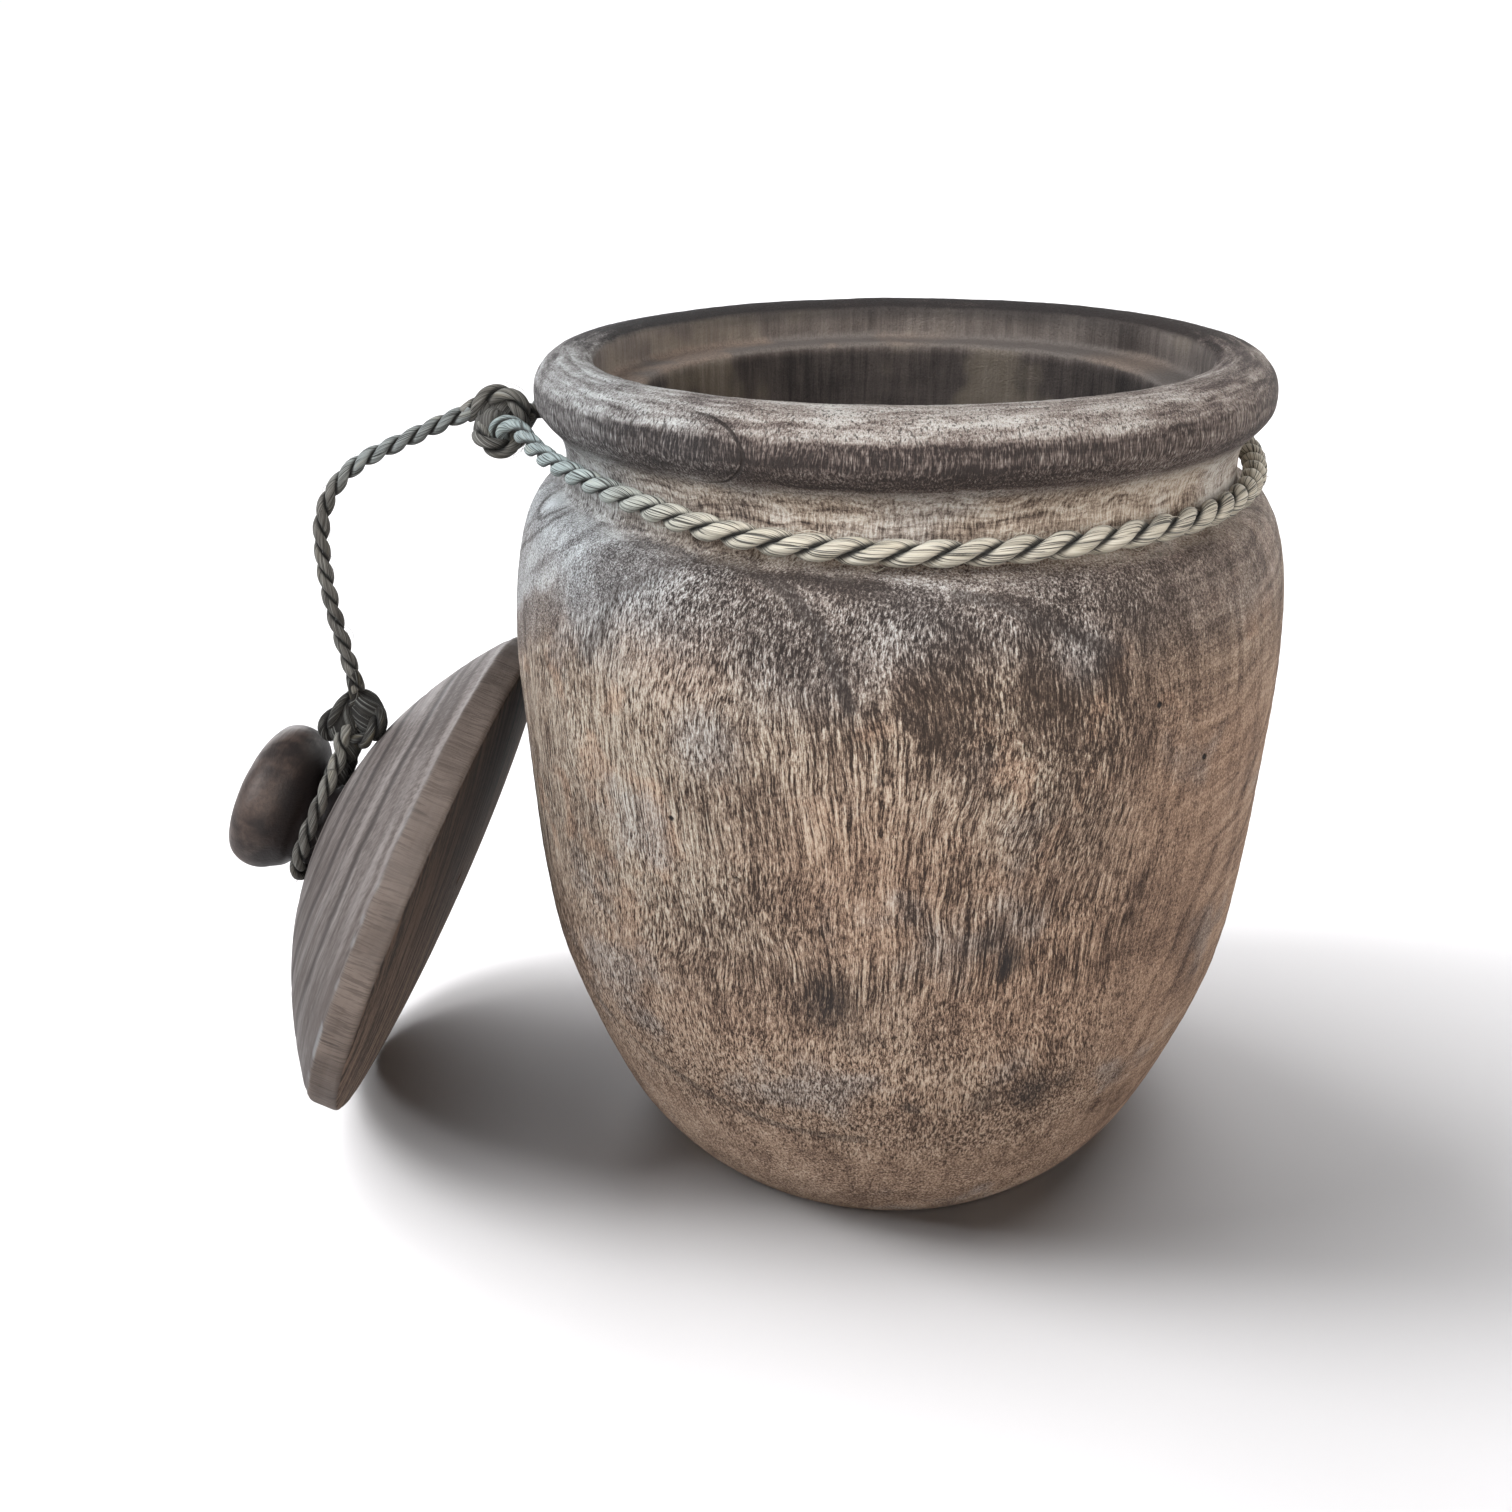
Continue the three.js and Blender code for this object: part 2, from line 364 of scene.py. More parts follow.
# --------------------------------------------------------------------------------- materials
def pot_material():
    g = Graph("pot_wood_weathered")
    p = g.mm()
    x, y, z = g.split(p)
    radial = g.math("SQRT", x * x + y * y)
    azim = g.math("ARCTAN2", y, x)

    # slow wander of the grain: the fibres lean and the ring lines wave
    wander = g.noise(p, 0.013, 2.0, 0.5) - 0.5
    wander2 = g.noise(g.vmath("ADD", p, (71.0, 13.0, 40.0)), 0.035, 2.0, 0.5) - 0.5
    curl = g.noise(g.vmath("ADD", p, (17.0, 55.0, 23.0)), 0.11, 1.0, 0.5) - 0.5
    lean = g.step(z, 150.0, 60.0) * g.step(x, -5.0, 50.0)
    gx = x + wander * 12.0 + wander2 * 5.0 + curl * 1.2 + lean * (z - 60.0) * 0.20
    gy = y + wander * 6.0 - wander2 * 4.0

    # growth rings about a pith that lies behind the pot's middle
    rx, ry = x - 13.7, y - 37.6
    plain = g.math("SQRT", rx * rx + ry * ry)
    top_in = g.math("MAXIMUM", z - 150.0, 0.0)
    ring0 = plain + top_in * top_in * 0.009 * g.step(x, -75.0, -40.0)
    ring_l = ring0 + wander2 * 1.2 + curl * 0.6
    ring = ring0 + wander2 * 3.4 + curl * 1.3
    right = g.step(x + wander * 24.0, 38.0, 74.0)
    banded = plain + wander2 * 6.0 + wander * 10.0 + curl * 1.5 + g.step(x, 25.0, 75.0) * (z - 150.0) * 0.34
    phase = g.math("FRACT", banded / 7.4)
    late = g.step(phase, 0.55, 0.93) * g.step(phase, 1.0, 0.94)
    late_amount = g.step(g.noise(g.join(banded * 0.135, 0.0, z * 0.006), 1.0, 1.0, 0.5), 0.38, 0.62)

    # fibres: long streaks where the cut runs with the grain, short dashes elsewhere
    long_f = g.noise(g.join(gx * 1.75, gy * 1.75, z * 0.06), 1.0, 3.0, 0.64)
    short_f = g.noise(g.join(gx * 1.95, gy * 1.95, z * 0.34), 1.0, 3.0, 0.66)
    fine_f = g.noise(g.join(gx * 4.4, gy * 4.4, z * 0.75), 1.0, 1.5, 0.6)
    broad_f = g.noise(g.join(gx * 0.30, gy * 0.30, z * 0.020), 1.0, 2.0, 0.55)
    pebble = g.noise(g.join(x * 1.9, y * 1.9, z * 1.5), 1.0, 2.5, 0.72)
    speck = g.noise(p, 3.2, 1.0, 0.6)
    level_f = g.noise(g.join(x * 0.028, y * 0.028, (z - x * 0.20 + wander2 * 8.0) * 0.50), 1.0, 2.0, 0.55)
    where_long = g.step(g.noise(g.vmath("ADD", p, (5.0, 90.0, 11.0)), 0.024, 1.0, 0.5), 0.40, 0.56) * g.step(z, 62.0, 92.0) * g.step(z, 168.0, 150.0)
    body_f = g.mixf(where_long, short_f, long_f)
    upright = body_f * 0.66 + fine_f * 0.34
    # the layers of the left shoulder lie in planes that dip to the left and the front
    layer = x * 0.489 - y * 0.233 - z * 0.840 + 161.8 + wander2 * 1.6 + curl * 0.8
    torn = layer + (g.noise(g.vmath("ADD", p, (3.0, 44.0, 8.0)), 0.16, 3.0, 0.68) - 0.5) * 9.0
    smooth_left = g.step(x + wander2 * 12.0, -20.0, -42.0) * g.step(torn, 13.0, 7.0) * g.step(y + wander2 * 24.0, 36.0, -20.0)
    off_grain = g.math("MAXIMUM", right, g.step(z + wander2 * 22.0, 169.0, 180.0))
    off_grain = g.math("MAXIMUM", off_grain, g.step(z + wander2 * 30.0, 44.0, 26.0))
    off_grain = g.math("MAXIMUM", off_grain, smooth_left)
    fibre = g.mixf(off_grain * 0.85, upright, (pebble - 0.5) * 0.72 + 0.5)
    pores = g.step(fine_f * 0.5 + body_f * 0.5, 0.44, 0.36)

    # big soft changes of tone
    tone = g.noise(g.vmath("ADD", p, (3.0, 47.0, 9.0)), 0.030, 3.0, 0.55)
    tone2 = g.noise(g.vmath("ADD", p, (40.0, 7.0, 90.0)), 0.085, 2.0, 0.5)
    cloud = g.noise(g.vmath("ADD", p, (11.0, 3.0, 70.0)), 0.048, 3.0, 0.6)

    # how light the wood is at a place, from broad to fine
    contrast = 4.5 - right * 2.6 - smooth_left * 2.7 - g.step(z, 186.0, 193.0) * 1.4 - g.step(z, 50.0, 25.0) * 1.0
    level = 0.48 + (fibre - 0.5) * contrast + (broad_f - 0.5) * 0.55 + (cloud - 0.5) * 0.45 + (tone2 - 0.5) * 0.30
    level = level + (speck - 0.5) * 0.55 + (level_f - 0.5) * right * 0.60

    def field(c, a, b, k):
        return g.blob(p, c, a, b) * k

    def line(v, at, width, k):
        return g.step(g.math("ABSOLUTE", v - at), width, width * 0.15) * k

    # thin dark lines of the figure, each followed point to point
    sx, sz = x + curl * 2.4 + wander2 * 3.0, z + wander * 5.0 + curl * 2.0

    def stroke(points, half, k):
        near = None
        for (ax, ay, az), (bx, by, bz) in zip(points, points[1:]):
            dx, dy, dz = bx - ax, by - ay, bz - az
            size = dx * dx + dy * dy + dz * dz
            along = ((sx - ax) * dx + (y - ay) * dy + (sz - az) * dz) / size
            along = g.math("MINIMUM", g.math("MAXIMUM", along, 0.0), 1.0)
            ox, oy, oz = sx - ax - along * dx, y - ay - along * dy, sz - az - along * dz
            far = g.math("SQRT", ox * ox + oy * oy + oz * oz)
            near = far if near is None else g.math("MINIMUM", near, far)
        return g.step(near, half, half * 0.45) * k

    drawn = stroke(((-37.8, -73.3, 176.3), (-28.4, -78.2, 176.0), (-19.1, -84.3, 173.3), (-14.1, -87.9, 168.6),
                            (-10.2, -90.5, 161.7), (-6.8, -92.3, 153.2)), 2.2, 0.80)
    drawn = g.math("MAXIMUM", drawn, stroke(((-62.4, -68.2, 153.9), (-56.8, -69.8, 165.6), (-47.0, -73.0, 172.8), (-37.8, -73.3, 176.3)), 2.4, 0.50))
    drawn = g.math("MAXIMUM", drawn, stroke(((12.9, -85.6, 173.1), (20.5, -85.0, 171.9), (28.2, -84.6, 168.3), (36.1, -82.7, 164.8),
                            (44.3, -79.8, 160.8)), 1.7, 0.70))
    drawn = g.math("MAXIMUM", drawn, stroke(((-69.1, -54.5, 55.5), (-46.8, -71.9, 47.4), (-26.9, -79.5, 41.5), (-3.4, -83.6, 40.7)), 1.9, 0.50))

    # the broad pale figure on the left of the belly and the lighter places about it
    level = level + field((-52.0, -77.0, 132.0), 10.0, 44.0, 0.15) + field((-42.0, -82.0, 142.0), 3.0, 17.0, 0.12)
    level = level + field((-20.0, -90.0, 151.0), 3.0, 19.0, 0.08) + field((-3.0, -93.0, 129.0), 6.0, 26.0, 0.08)
    level = level + field((4.0, -89.0, 169.0), 3.0, 15.0, 0.10) + field((-57.0, -68.0, 165.0), 3.0, 17.0, 0.07)
    level = level + field((37.0, -83.4, 161.0), 1.0, 8.0, 0.20) + field((5.0, -90.0, 68.0), 4.0, 20.0, 0.06)
    level = level + field((-44.0, -79.0, 68.0), 4.0, 22.0, 0.06) + field((75.0, -55.0, 116.0), 4.0, 34.0, 0.06)
    level = level + field((-21.0, -90.0, 100.0), 3.0, 14.0, 0.05)
    # darker places
    level = level - field((16.0, -90.0, 153.0), 8.0, 30.0, 0.03)
    level = level - field((-31.0, -87.0, 139.0), 2.0, 9.0, 0.09) - field((-22.0, -90.0, 109.0), 2.0, 10.0, 0.10)
    level = level - field((9.0, -92.0, 110.0), 2.0, 12.0, 0.10) - field((22.0, -90.0, 96.0), 3.0, 15.0, 0.12)
    level = level - field((-12.0, -91.0, 84.0), 2.0, 12.0, 0.10) - field((-32.0, -85.0, 76.0), 3.0, 16.0, 0.07)
    level = level - field((33.0, -81.0, 53.0), 4.0, 18.0, 0.08) - field((62.0, -62.0, 166.0), 6.0, 32.0, 0.10)
    level = level - field((-26.0, -84.0, 169.0), 3.0, 20.0, 0.09) - field((50.0, -78.0, 142.0), 5.0, 26.0, 0.05)
    level = level - field((46.0, -80.0, 108.0), 5.0, 30.0, 0.07) - field((24.0, -90.0, 118.0), 6.0, 27.0, 0.14) - field((48.0, -80.0, 92.0), 8.0, 30.0, 0.06)
    level = level - field((62.0, -62.0, 166.0), 6.0, 32.0, 0.07) + field((-88.0, -30.0, 125.0), 6.0, 44.0, 0.07)
    level = level + g.step(z, 30.0, 10.0) * 0.03 + g.step(x, 62.0, 88.0) * g.step(z, 160.0, 140.0) * 0.05
    level = level - field((-9.0, -90.0, 160.0), 9.0, 24.0, 0.19) - field((-20.0, -86.0, 171.0), 4.0, 18.0, 0.08)
    level = level - field((-45.0, -82.0, 143.0), 2.0, 12.0, 0.15) - field((-57.0, -71.0, 163.0), 4.0, 16.0, 0.14)
    level = level - field((36.0, -82.4, 166.0), 7.0, 21.0, 0.17) - field((48.0, -79.0, 153.0), 8.0, 26.0, 0.13)
    level = level - field((-33.0, -82.0, 166.0), 4.0, 18.0, 0.07) - field((-18.0, -91.0, 107.5), 3.0, 12.0, 0.12)
    level = level - field((-34.0, -86.0, 124.0), 3.0, 16.0, 0.06)
    level = level + field((67.0, -65.0, 145.0), 5.0, 24.0, 0.08) + field((16.5, -92.0, 134.0), 4.0, 17.0, 0.28)
    level = level + field((-6.5, -92.8, 113.0), 4.0, 20.0, 0.09) + field((-50.0, -66.0, 42.0), 6.0, 26.0, 0.09)
    level = level + field((20.6, -86.4, 58.8), 3.0, 14.0, 0.10) + field((63.0, -63.0, 60.0), 4.0, 18.0, 0.09)
    level = level - field((-38.0, -85.0, 138.0), 5.0, 20.0, 0.09) - field((-26.0, -89.0, 132.0), 5.0, 20.0, 0.06)
    level = level - field((-7.0, -92.5, 148.0), 3.0, 13.0, 0.12) + field((3.0, -91.0, 159.0), 3.0, 14.0, 0.15)
    level = level - field((-19.0, -91.0, 113.0), 4.0, 18.0, 0.08) - field((-30.0, -88.0, 107.0), 4.0, 15.0, 0.07)
    level = level - field((-18.0, -89.0, 87.0), 4.0, 20.0, 0.07) - field((14.0, -91.0, 90.0), 4.0, 18.0, 0.09)
    level = level - field((13.0, -84.0, 44.0), 4.0, 16.0, 0.07) - field((33.0, -81.0, 56.0), 3.0, 12.0, 0.10)
    level = level - field((48.0, -79.0, 141.0), 6.0, 24.0, 0.07) - field((60.0, -68.0, 78.0), 4.0, 18.0, 0.05)
    level = level + field((-48.0, -60.0, 25.0), 4.0, 18.0, 0.11)
    level = level + field((-19.0, -84.0, 171.5), 3.0, 13.0, 0.10) + field((3.0, -88.0, 169.5), 3.0, 13.0, 0.15)
    level = level - field((39.0, -79.5, 169.0), 2.0, 12.0, 0.09) + field((-66.0, -60.0, 50.0), 3.0, 15.0, 0.08)
    level = level - field((15.0, -88.8, 166.5), 2.0, 13.0, 0.09) - field((27.0, -88.4, 151.0), 3.0, 17.0, 0.12)
    level = level - field((17.1, -91.8, 121.0), 3.0, 13.0, 0.09) - field((4.8, -93.5, 136.0), 3.0, 12.0, 0.05)
    level = level - field((40.6, -84.3, 131.0), 3.0, 15.0, 0.07) - field((17.0, -88.0, 143.0), 2.0, 12.0, 0.03)

    # ring lines: on the left shoulder two pale edges with smooth dark wood between them; the upper edge is brightened
    # further as a painted highlight
    left_top = g.step(x, -20.0, -34.0) * g.step(y + wander2 * 24.0, 36.0, -20.0)
    level = level + smooth_left * 0.10 + (g.noise(p, 2.6, 2.0, 0.8) - 0.5) * smooth_left * 1.6
    level = level - g.step(x, -76.0, -90.0) * g.step(layer, 6.0, 0.0) * left_top * 0.08
    level = level + g.step(layer, -2.6, -0.8) * g.step(torn, 2.6, -1.4) * left_top * g.step(x, -92.0, -72.0) * 0.17
    level = level - line(layer, -4.2, 1.5, 0.20) * left_top * g.step(x, -88.0, -76.0)
    level = level - g.step(torn, -2.5, 4.5) * g.step(torn, 13.0, 7.0) * left_top * 0.20
    level = level + line(layer, 11.6, 1.3, 0.10) * left_top
    level = level - line(layer, -11.5, 0.9, 0.22) * left_top - line(layer, -15.0, 0.6, 0.12) * left_top
    disc = g.vmath("DISTANCE", p, (-75.5, -31.0, 178.0))
    level = level + g.step(disc + curl * 2.5, 7.4, 3.4) * 0.50 - line(disc + curl * 1.5, 7.4, 1.1, 0.26)
    level = level - line(ring0 + wander2 * 1.5, 129.6, 1.8, 0.42) * g.step(x, -30.0, -18.0) * g.step(z, 120.0, 142.0)
    level = level - line(ring0 + wander2 * 1.9, 126.2, 0.8, 0.14) * g.step(x, -12.0, -2.0) * g.step(z, 140.0, 158.0)
    level = level - line(plain + wander2 * 1.6 + curl * 0.8, 122.2, 0.8, 0.26) * g.step(x, 14.0, 22.0) * g.step(x, 60.0, 36.0) * g.step(z, 140.0, 160.0)
    level = level - late * late_amount * (0.10 + right * 0.08)
    level = level - pores * (1.0 - off_grain * 0.7) * 0.13

    # the darkest places keep their grain
    level = g.math("MAXIMUM", level, level * 0.35 + 0.085 + (fibre - 0.5) * 0.9 + (speck - 0.5) * 0.2)

    def ramp4(v, stops):
        n = g.node("ShaderNodeValToRGB")
        while len(n.color_ramp.elements) < len(stops):
            n.color_ramp.elements.new(0.5)
        for e, (at, c) in zip(n.color_ramp.elements, stops):
            e.position = at
            e.color = (*c, 1.0)
        g.plug(n.inputs[0], v)
        return Val(g, n.outputs[0])

    warm = ramp4(level, ((0.02, (0.036, 0.024, 0.018)), (0.24, (0.096, 0.065, 0.049)), (0.47, (0.225, 0.162, 0.121)),
                         (0.70, (0.390, 0.316, 0.248)), (0.95, (0.545, 0.480, 0.400))))
    rosy = ramp4(level, ((0.02, (0.036, 0.022, 0.016)), (0.24, (0.098, 0.061, 0.044)), (0.47, (0.228, 0.145, 0.101)),
                         (0.70, (0.385, 0.262, 0.186)), (0.95, (0.520, 0.395, 0.300))))
    grey = ramp4(level, ((0.02, (0.034, 0.026, 0.023)), (0.24, (0.090, 0.071, 0.063)), (0.47, (0.200, 0.169, 0.151)),
                         (0.70, (0.360, 0.328, 0.304)), (0.95, (0.520, 0.505, 0.490))))
    # the blue ramp holds the colours of the painted cool highlight on the lit left
    blue_highlight = ramp4(level, ((0.02, (0.028, 0.028, 0.029)), (0.24, (0.102, 0.099, 0.101)), (0.47, (0.245, 0.248, 0.253)),
                         (0.70, (0.420, 0.445, 0.460)), (0.95, (0.600, 0.640, 0.660))))
    rosy_at = g.math("MAXIMUM", g.step(tone2 + (tone - 0.5) * 0.6, 0.52, 0.66) * 0.8, g.step(z + wander * 60.0, 108.0, 62.0) * 0.8)
    rosy_at = g.math("MAXIMUM", rosy_at, g.step(x + wander * 30.0, 24.0, 62.0) * g.step(z, 165.0, 130.0) * 0.95)
    rosy_at = g.math("MAXIMUM", rosy_at, field((-40.0, -80.0, 159.0), 4.0, 20.0, 0.75))
    rosy_at = g.math("MAXIMUM", rosy_at, field((-3.0, -93.0, 112.0), 8.0, 40.0, 0.85))
    rosy_at = g.math("MAXIMUM", rosy_at, field((36.0, -84.0, 84.0), 12.0, 56.0, 0.95))
    col = g.mix(rosy_at, warm, rosy)
    high = g.step(z + wander * 34.0 + wander2 * 24.0, 152.0, 172.0) * g.mixf(g.step(x, 25.0, 60.0), 0.92, 0.60)
    high = g.math("MAXIMUM", high, field((-36.0, -86.0, 142.0), 2.0, 13.0, 0.75))
    high = g.math("MAXIMUM", high, g.step(tone, 0.56, 0.68) * 0.55)
    high = g.math("MAXIMUM", high, g.step(torn, 15.0, 4.0) * g.step(x, -16.0, -42.0) * (g.step(y, 50.0, -20.0) * 0.55 + 0.30))
    col = g.mix(high, col, grey)
    # painted highlight: blue-grey where light from the upper left catches the left shoulder and its ridge edge; the
    # pale disc and two small spots share it
    cool = g.step(x + wander2 * 40.0, -28.0, -66.0) * g.step(z + wander2 * 26.0, 152.0, 172.0) * g.step(y + wander2 * 24.0, 36.0, -20.0)
    cool = g.math("MAXIMUM", cool, g.step(disc, 9.0, 5.0))
    cool = g.math("MAXIMUM", cool, g.step(torn, 4.0, -3.0) * left_top * 0.75)
    cool = g.math("MAXIMUM", cool, field((37.4, -83.4, 161.0), 1.0, 10.0, 0.5))
    cool = g.math("MAXIMUM", cool, field((4.0, -86.0, 171.0), 1.0, 14.0, 0.25))
    col = g.mix(cool * 0.9, col, blue_highlight)

    # small stains and borer holes
    spots = g.noise(g.vmath("ADD", p, (9.0, 21.0, 2.0)), 0.16, 2.0, 0.6)
    stain = g.step(spots, 0.69, 0.78) * 0.45
    soft_p = g.join(x + curl * 5.0, y, z + wander2 * 10.0 + curl * 6.0)
    for c, a, b, k in (((27.0, -88.4, 94.6), 0.8, 5.0, 1.0), ((22.0, -90.0, 98.0), 1.0, 6.0, 0.35), ((-10.4, -91.3, 84.5), 1.0, 8.5, 0.8),
                       ((34.4, -80.9, 55.3), 1.5, 7.5, 0.75), ((24.5, -84.0, 55.0), 1.0, 5.0, 0.65), ((42.0, -77.0, 57.5), 1.0, 4.0, 0.6),
                       ((8.1, -87.0, 52.9), 1.0, 3.2, 0.7), ((-4.0, -89.0, 76.0), 1.0, 6.0, 0.5), ((-55.0, -70.0, 60.0), 1.0, 8.0, 0.3)):
        stain = g.math("MAXIMUM", stain, g.blob(soft_p, c, a, b * 1.25) * (g.step(fibre, 0.66, 0.46) * 0.45 + 0.55) * k)
    col = g.mix(stain * 0.92, col, (0.027, 0.022, 0.021))
    col = g.mix(drawn * (g.step(fibre, 0.70, 0.46) * 0.5 + 0.5), col, (0.040, 0.031, 0.028))
    holes = None
    for c in ((-30.5, -88.0, 111.1), (66.4, -66.0, 132.2), (53.9, -75.9, 147.9), (-44.5, -82.3, 122.0), (60.0, 70.0, 120.0)):
        h = g.blob(p, c, 0.35, 0.85)
        holes = h if holes is None else g.math("MAXIMUM", holes, h)
    col = g.mix(holes, col, (0.012, 0.009, 0.008))

    # neck: curly figure with fine wavy lines
    neck = g.step(z, 174.5, 178.0) * g.step(z, 194.0, 190.0) * g.step(radial, 70.0, 75.0)
    along = g.noise(g.join(azim * 5.0, radial * 0.3, (z + curl * 5.0) * 0.55), 1.0, 3.0, 0.6)
    neck_l = 0.60 + (along - 0.5) * 1.7 + (short_f - 0.5) * 1.9 + (speck - 0.5) * 0.5 + (tone2 - 0.5) * 0.8
    neck_l = neck_l + g.step(x, 20.0, 60.0) * 0.19 - g.step(z, 181.0, 176.5) * 0.12
    flame = g.math("FRACT", (z + (g.noise(g.join(azim * 3.4, 0.0, z * 0.05), 1.0, 2.0, 0.55) - 0.5) * 26.0 + curl * 3.0) / 3.1)
    flame_line = g.step(flame, 0.72, 0.92) * g.step(flame, 1.0, 0.94) * g.step(tone2, 0.40, 0.56)
    neck_l = neck_l - flame_line * 0.16
    neck_grey = ramp4(neck_l, ((0.02, (0.030, 0.024, 0.021)), (0.24, (0.092, 0.073, 0.063)), (0.47, (0.215, 0.178, 0.153)),
                               (0.70, (0.360, 0.318, 0.280)), (0.95, (0.500, 0.475, 0.440))))
    neck_warm = ramp4(neck_l, ((0.02, (0.030, 0.022, 0.018)), (0.24, (0.098, 0.071, 0.056)), (0.47, (0.235, 0.180, 0.140)),
                               (0.70, (0.385, 0.318, 0.255)), (0.95, (0.520, 0.465, 0.400))))
    neck_blue_highlight = ramp4(neck_l, ((0.02, (0.028, 0.027, 0.028)), (0.24, (0.098, 0.094, 0.094)), (0.47, (0.225, 0.222, 0.220)),
                               (0.70, (0.385, 0.398, 0.400)), (0.95, (0.540, 0.570, 0.580))))
    neck_col = g.mix(g.step(tone, 0.44, 0.58), neck_grey, neck_warm)
    # painted highlight: the neck's left side, towards the light, turns blue-grey
    neck_col = g.mix(g.step(x + wander2 * 30.0, -30.0, -64.0) * 0.8, neck_col, neck_blue_highlight)
    col = g.mix(neck, col, neck_col)

    # rim bead: fine pore dots above and below, a dark streaked band round its widest part
    bead = g.step(z, 188.5, 192.5) * g.step(radial, 70.5, 71.5)
    fleck = g.noise(g.join(gx * 1.9, gy * 1.9, z * 0.42), 1.0, 1.0, 0.5)
    fleck_on = g.step(fleck, 0.405, 0.335)
    round_f = g.noise(g.join(azim * 4.0, radial * 0.55, (z + curl * 4.0) * 0.5), 1.0, 3.0, 0.62)
    bead_tone = (cloud - 0.5) * 0.6 + (tone2 - 0.5) * 0.6 + (fine_f - 0.5) * 1.1 + (short_f - 0.5) * 0.9 + (round_f - 0.5) * 1.5
    belt = g.step(g.math("ABSOLUTE", z - 196.2 + wander2 * 7.0), 6.0, 2.2) * g.step(radial, 80.0, 83.0)
    belt_streak = g.noise(g.join(gx * 2.5, gy * 2.5, z * 0.30), 1.0, 2.5, 0.68)
    back_rim = g.step(y, -35.0, 50.0)
    top_l = 0.61 + bead_tone - back_rim * 0.90 - g.step(x, 30.0, 70.0) * 0.20
    belt_l = 0.11 + (belt_streak - 0.5) * 1.8 + bead_tone * 0.60 + g.step(x, 15.0, 60.0) * 0.14 + g.step(x, -40.0, -75.0) * 0.16
    low_l = 0.47 + bead_tone
    bead_l = g.mixf(g.step(z, 199.5, 202.5), g.mixf(g.step(z, 194.5, 191.5), belt_l, low_l), top_l)
    bead_l = g.mixf(belt, bead_l, belt_l)
    bead_col = ramp4(bead_l, ((0.02, (0.028, 0.021, 0.019)), (0.24, (0.088, 0.066, 0.059)), (0.47, (0.198, 0.162, 0.144)),
                              (0.70, (0.350, 0.316, 0.288)), (0.95, (0.490, 0.470, 0.445))))
    bead_blue_highlight = ramp4(bead_l, ((0.02, (0.028, 0.027, 0.028)), (0.24, (0.095, 0.089, 0.089)), (0.47, (0.215, 0.210, 0.208)),
                               (0.70, (0.375, 0.385, 0.385)), (0.95, (0.540, 0.565, 0.570))))
    # painted highlight: the bead's left side, towards the light, turns blue-grey
    bead_col = g.mix(g.step(x + wander2 * 40.0, -20.0, -62.0) * 0.85, bead_col, bead_blue_highlight)
    bead_col = g.mix(fleck_on * 0.72, bead_col, (0.040, 0.032, 0.029))
    col = g.mix(bead, col, bead_col)
    # the oval figure in the bead, ringed by a fine dark line
    oval = g.vmath("LENGTH", g.join((x + 41.0) / 13.5, (y + 76.5) / 12.0, (z + curl * 2.0 - 197.5) / 7.4))
    oval_line = g.step(g.math("ABSOLUTE", oval - 1.0), 0.042, 0.012) * g.step(x, -42.0, -33.0) * bead
    col = g.mix(oval_line * 0.9, col, (0.028, 0.021, 0.019))
    around_oval = g.step(g.math("FRACT", oval * 4.2), 0.62, 0.9) * g.step(oval, 1.9, 1.3) * g.step(oval, 1.0, 1.1) * g.step(z, 201.0, 197.0)
    col = g.mix(around_oval * bead * 0.38, col, (0.055, 0.043, 0.039))

    # inside
    inner = g.step(radial, 71.7, 70.9) * g.step(z, 20.0, 24.0)
    drip = g.noise(g.join(x * 0.42, y * 0.42, z * 0.03), 1.0, 3.0, 0.62)
    drip2 = g.noise(g.join(x * 1.7, y * 1.7, z * 0.10), 1.0, 2.0, 0.6)
    damp = g.noise(g.vmath("ADD", p, (60.0, 20.0, 10.0)), 0.045, 2.0, 0.5)
    wall_l = 0.43 + (drip - 0.5) * 0.42 + (drip2 - 0.5) * 0.22 + (damp - 0.5) * 0.65 + (speck - 0.5) * 0.2
    # painted shade: the cavity below the ledge is darkened
    cavity_shade = g.step(z, 196.4, 193.0)
    wall_l = wall_l - cavity_shade * 0.28
    wall = ramp4(wall_l, ((0.02, (0.020, 0.016, 0.015)), (0.24, (0.062, 0.050, 0.045)), (0.47, (0.150, 0.126, 0.112)),
                          (0.70, (0.265, 0.232, 0.208)), (0.95, (0.400, 0.365, 0.335))))
    wall = g.mix(g.step(damp, 0.50, 0.62) * 0.35, wall, g.mix(0.5, wall, (0.30, 0.25, 0.17)))
    ledge = g.step(z + curl * 0.8, 195.2, 196.2) * g.step(z + curl * 1.6, 198.8, 197.0)
    ledge_w = g.step(damp, 0.44, 0.58) * g.step(x + wander * 40.0, 25.0, -15.0) * 0.8
    ledge_w = g.math("MAXIMUM", ledge_w, field((56.0, 28.0, 196.6), 4.0, 20.0, 0.8))
    ledge_col = g.mix(ledge_w, (0.158, 0.137, 0.124), (0.245, 0.185, 0.147))
    ledge_col = g.mix(g.step(drip2, 0.54, 0.40) * 0.45, ledge_col, (0.085, 0.070, 0.062))
    ledge_col = g.mix(g.step(fine_f, 0.50, 0.40) * 0.4, ledge_col, (0.085, 0.070, 0.062))
    inside = g.mix(ledge, wall, ledge_col)
    # the recess's lip is lighter: rubbed wear with a painted highlight where the edge catches the light
    lip = g.step(z, 203.4, 204.6) * g.step(radial, 70.2, 70.9)
    inside = g.mix(lip * 0.4, inside, bead_col)
    col = g.mix(inner, col, inside)
    col = g.mix(g.step(y, 25.0, 66.0) * g.step(z, 200.0, 203.5) * 0.62, col, (0.026, 0.023, 0.023))

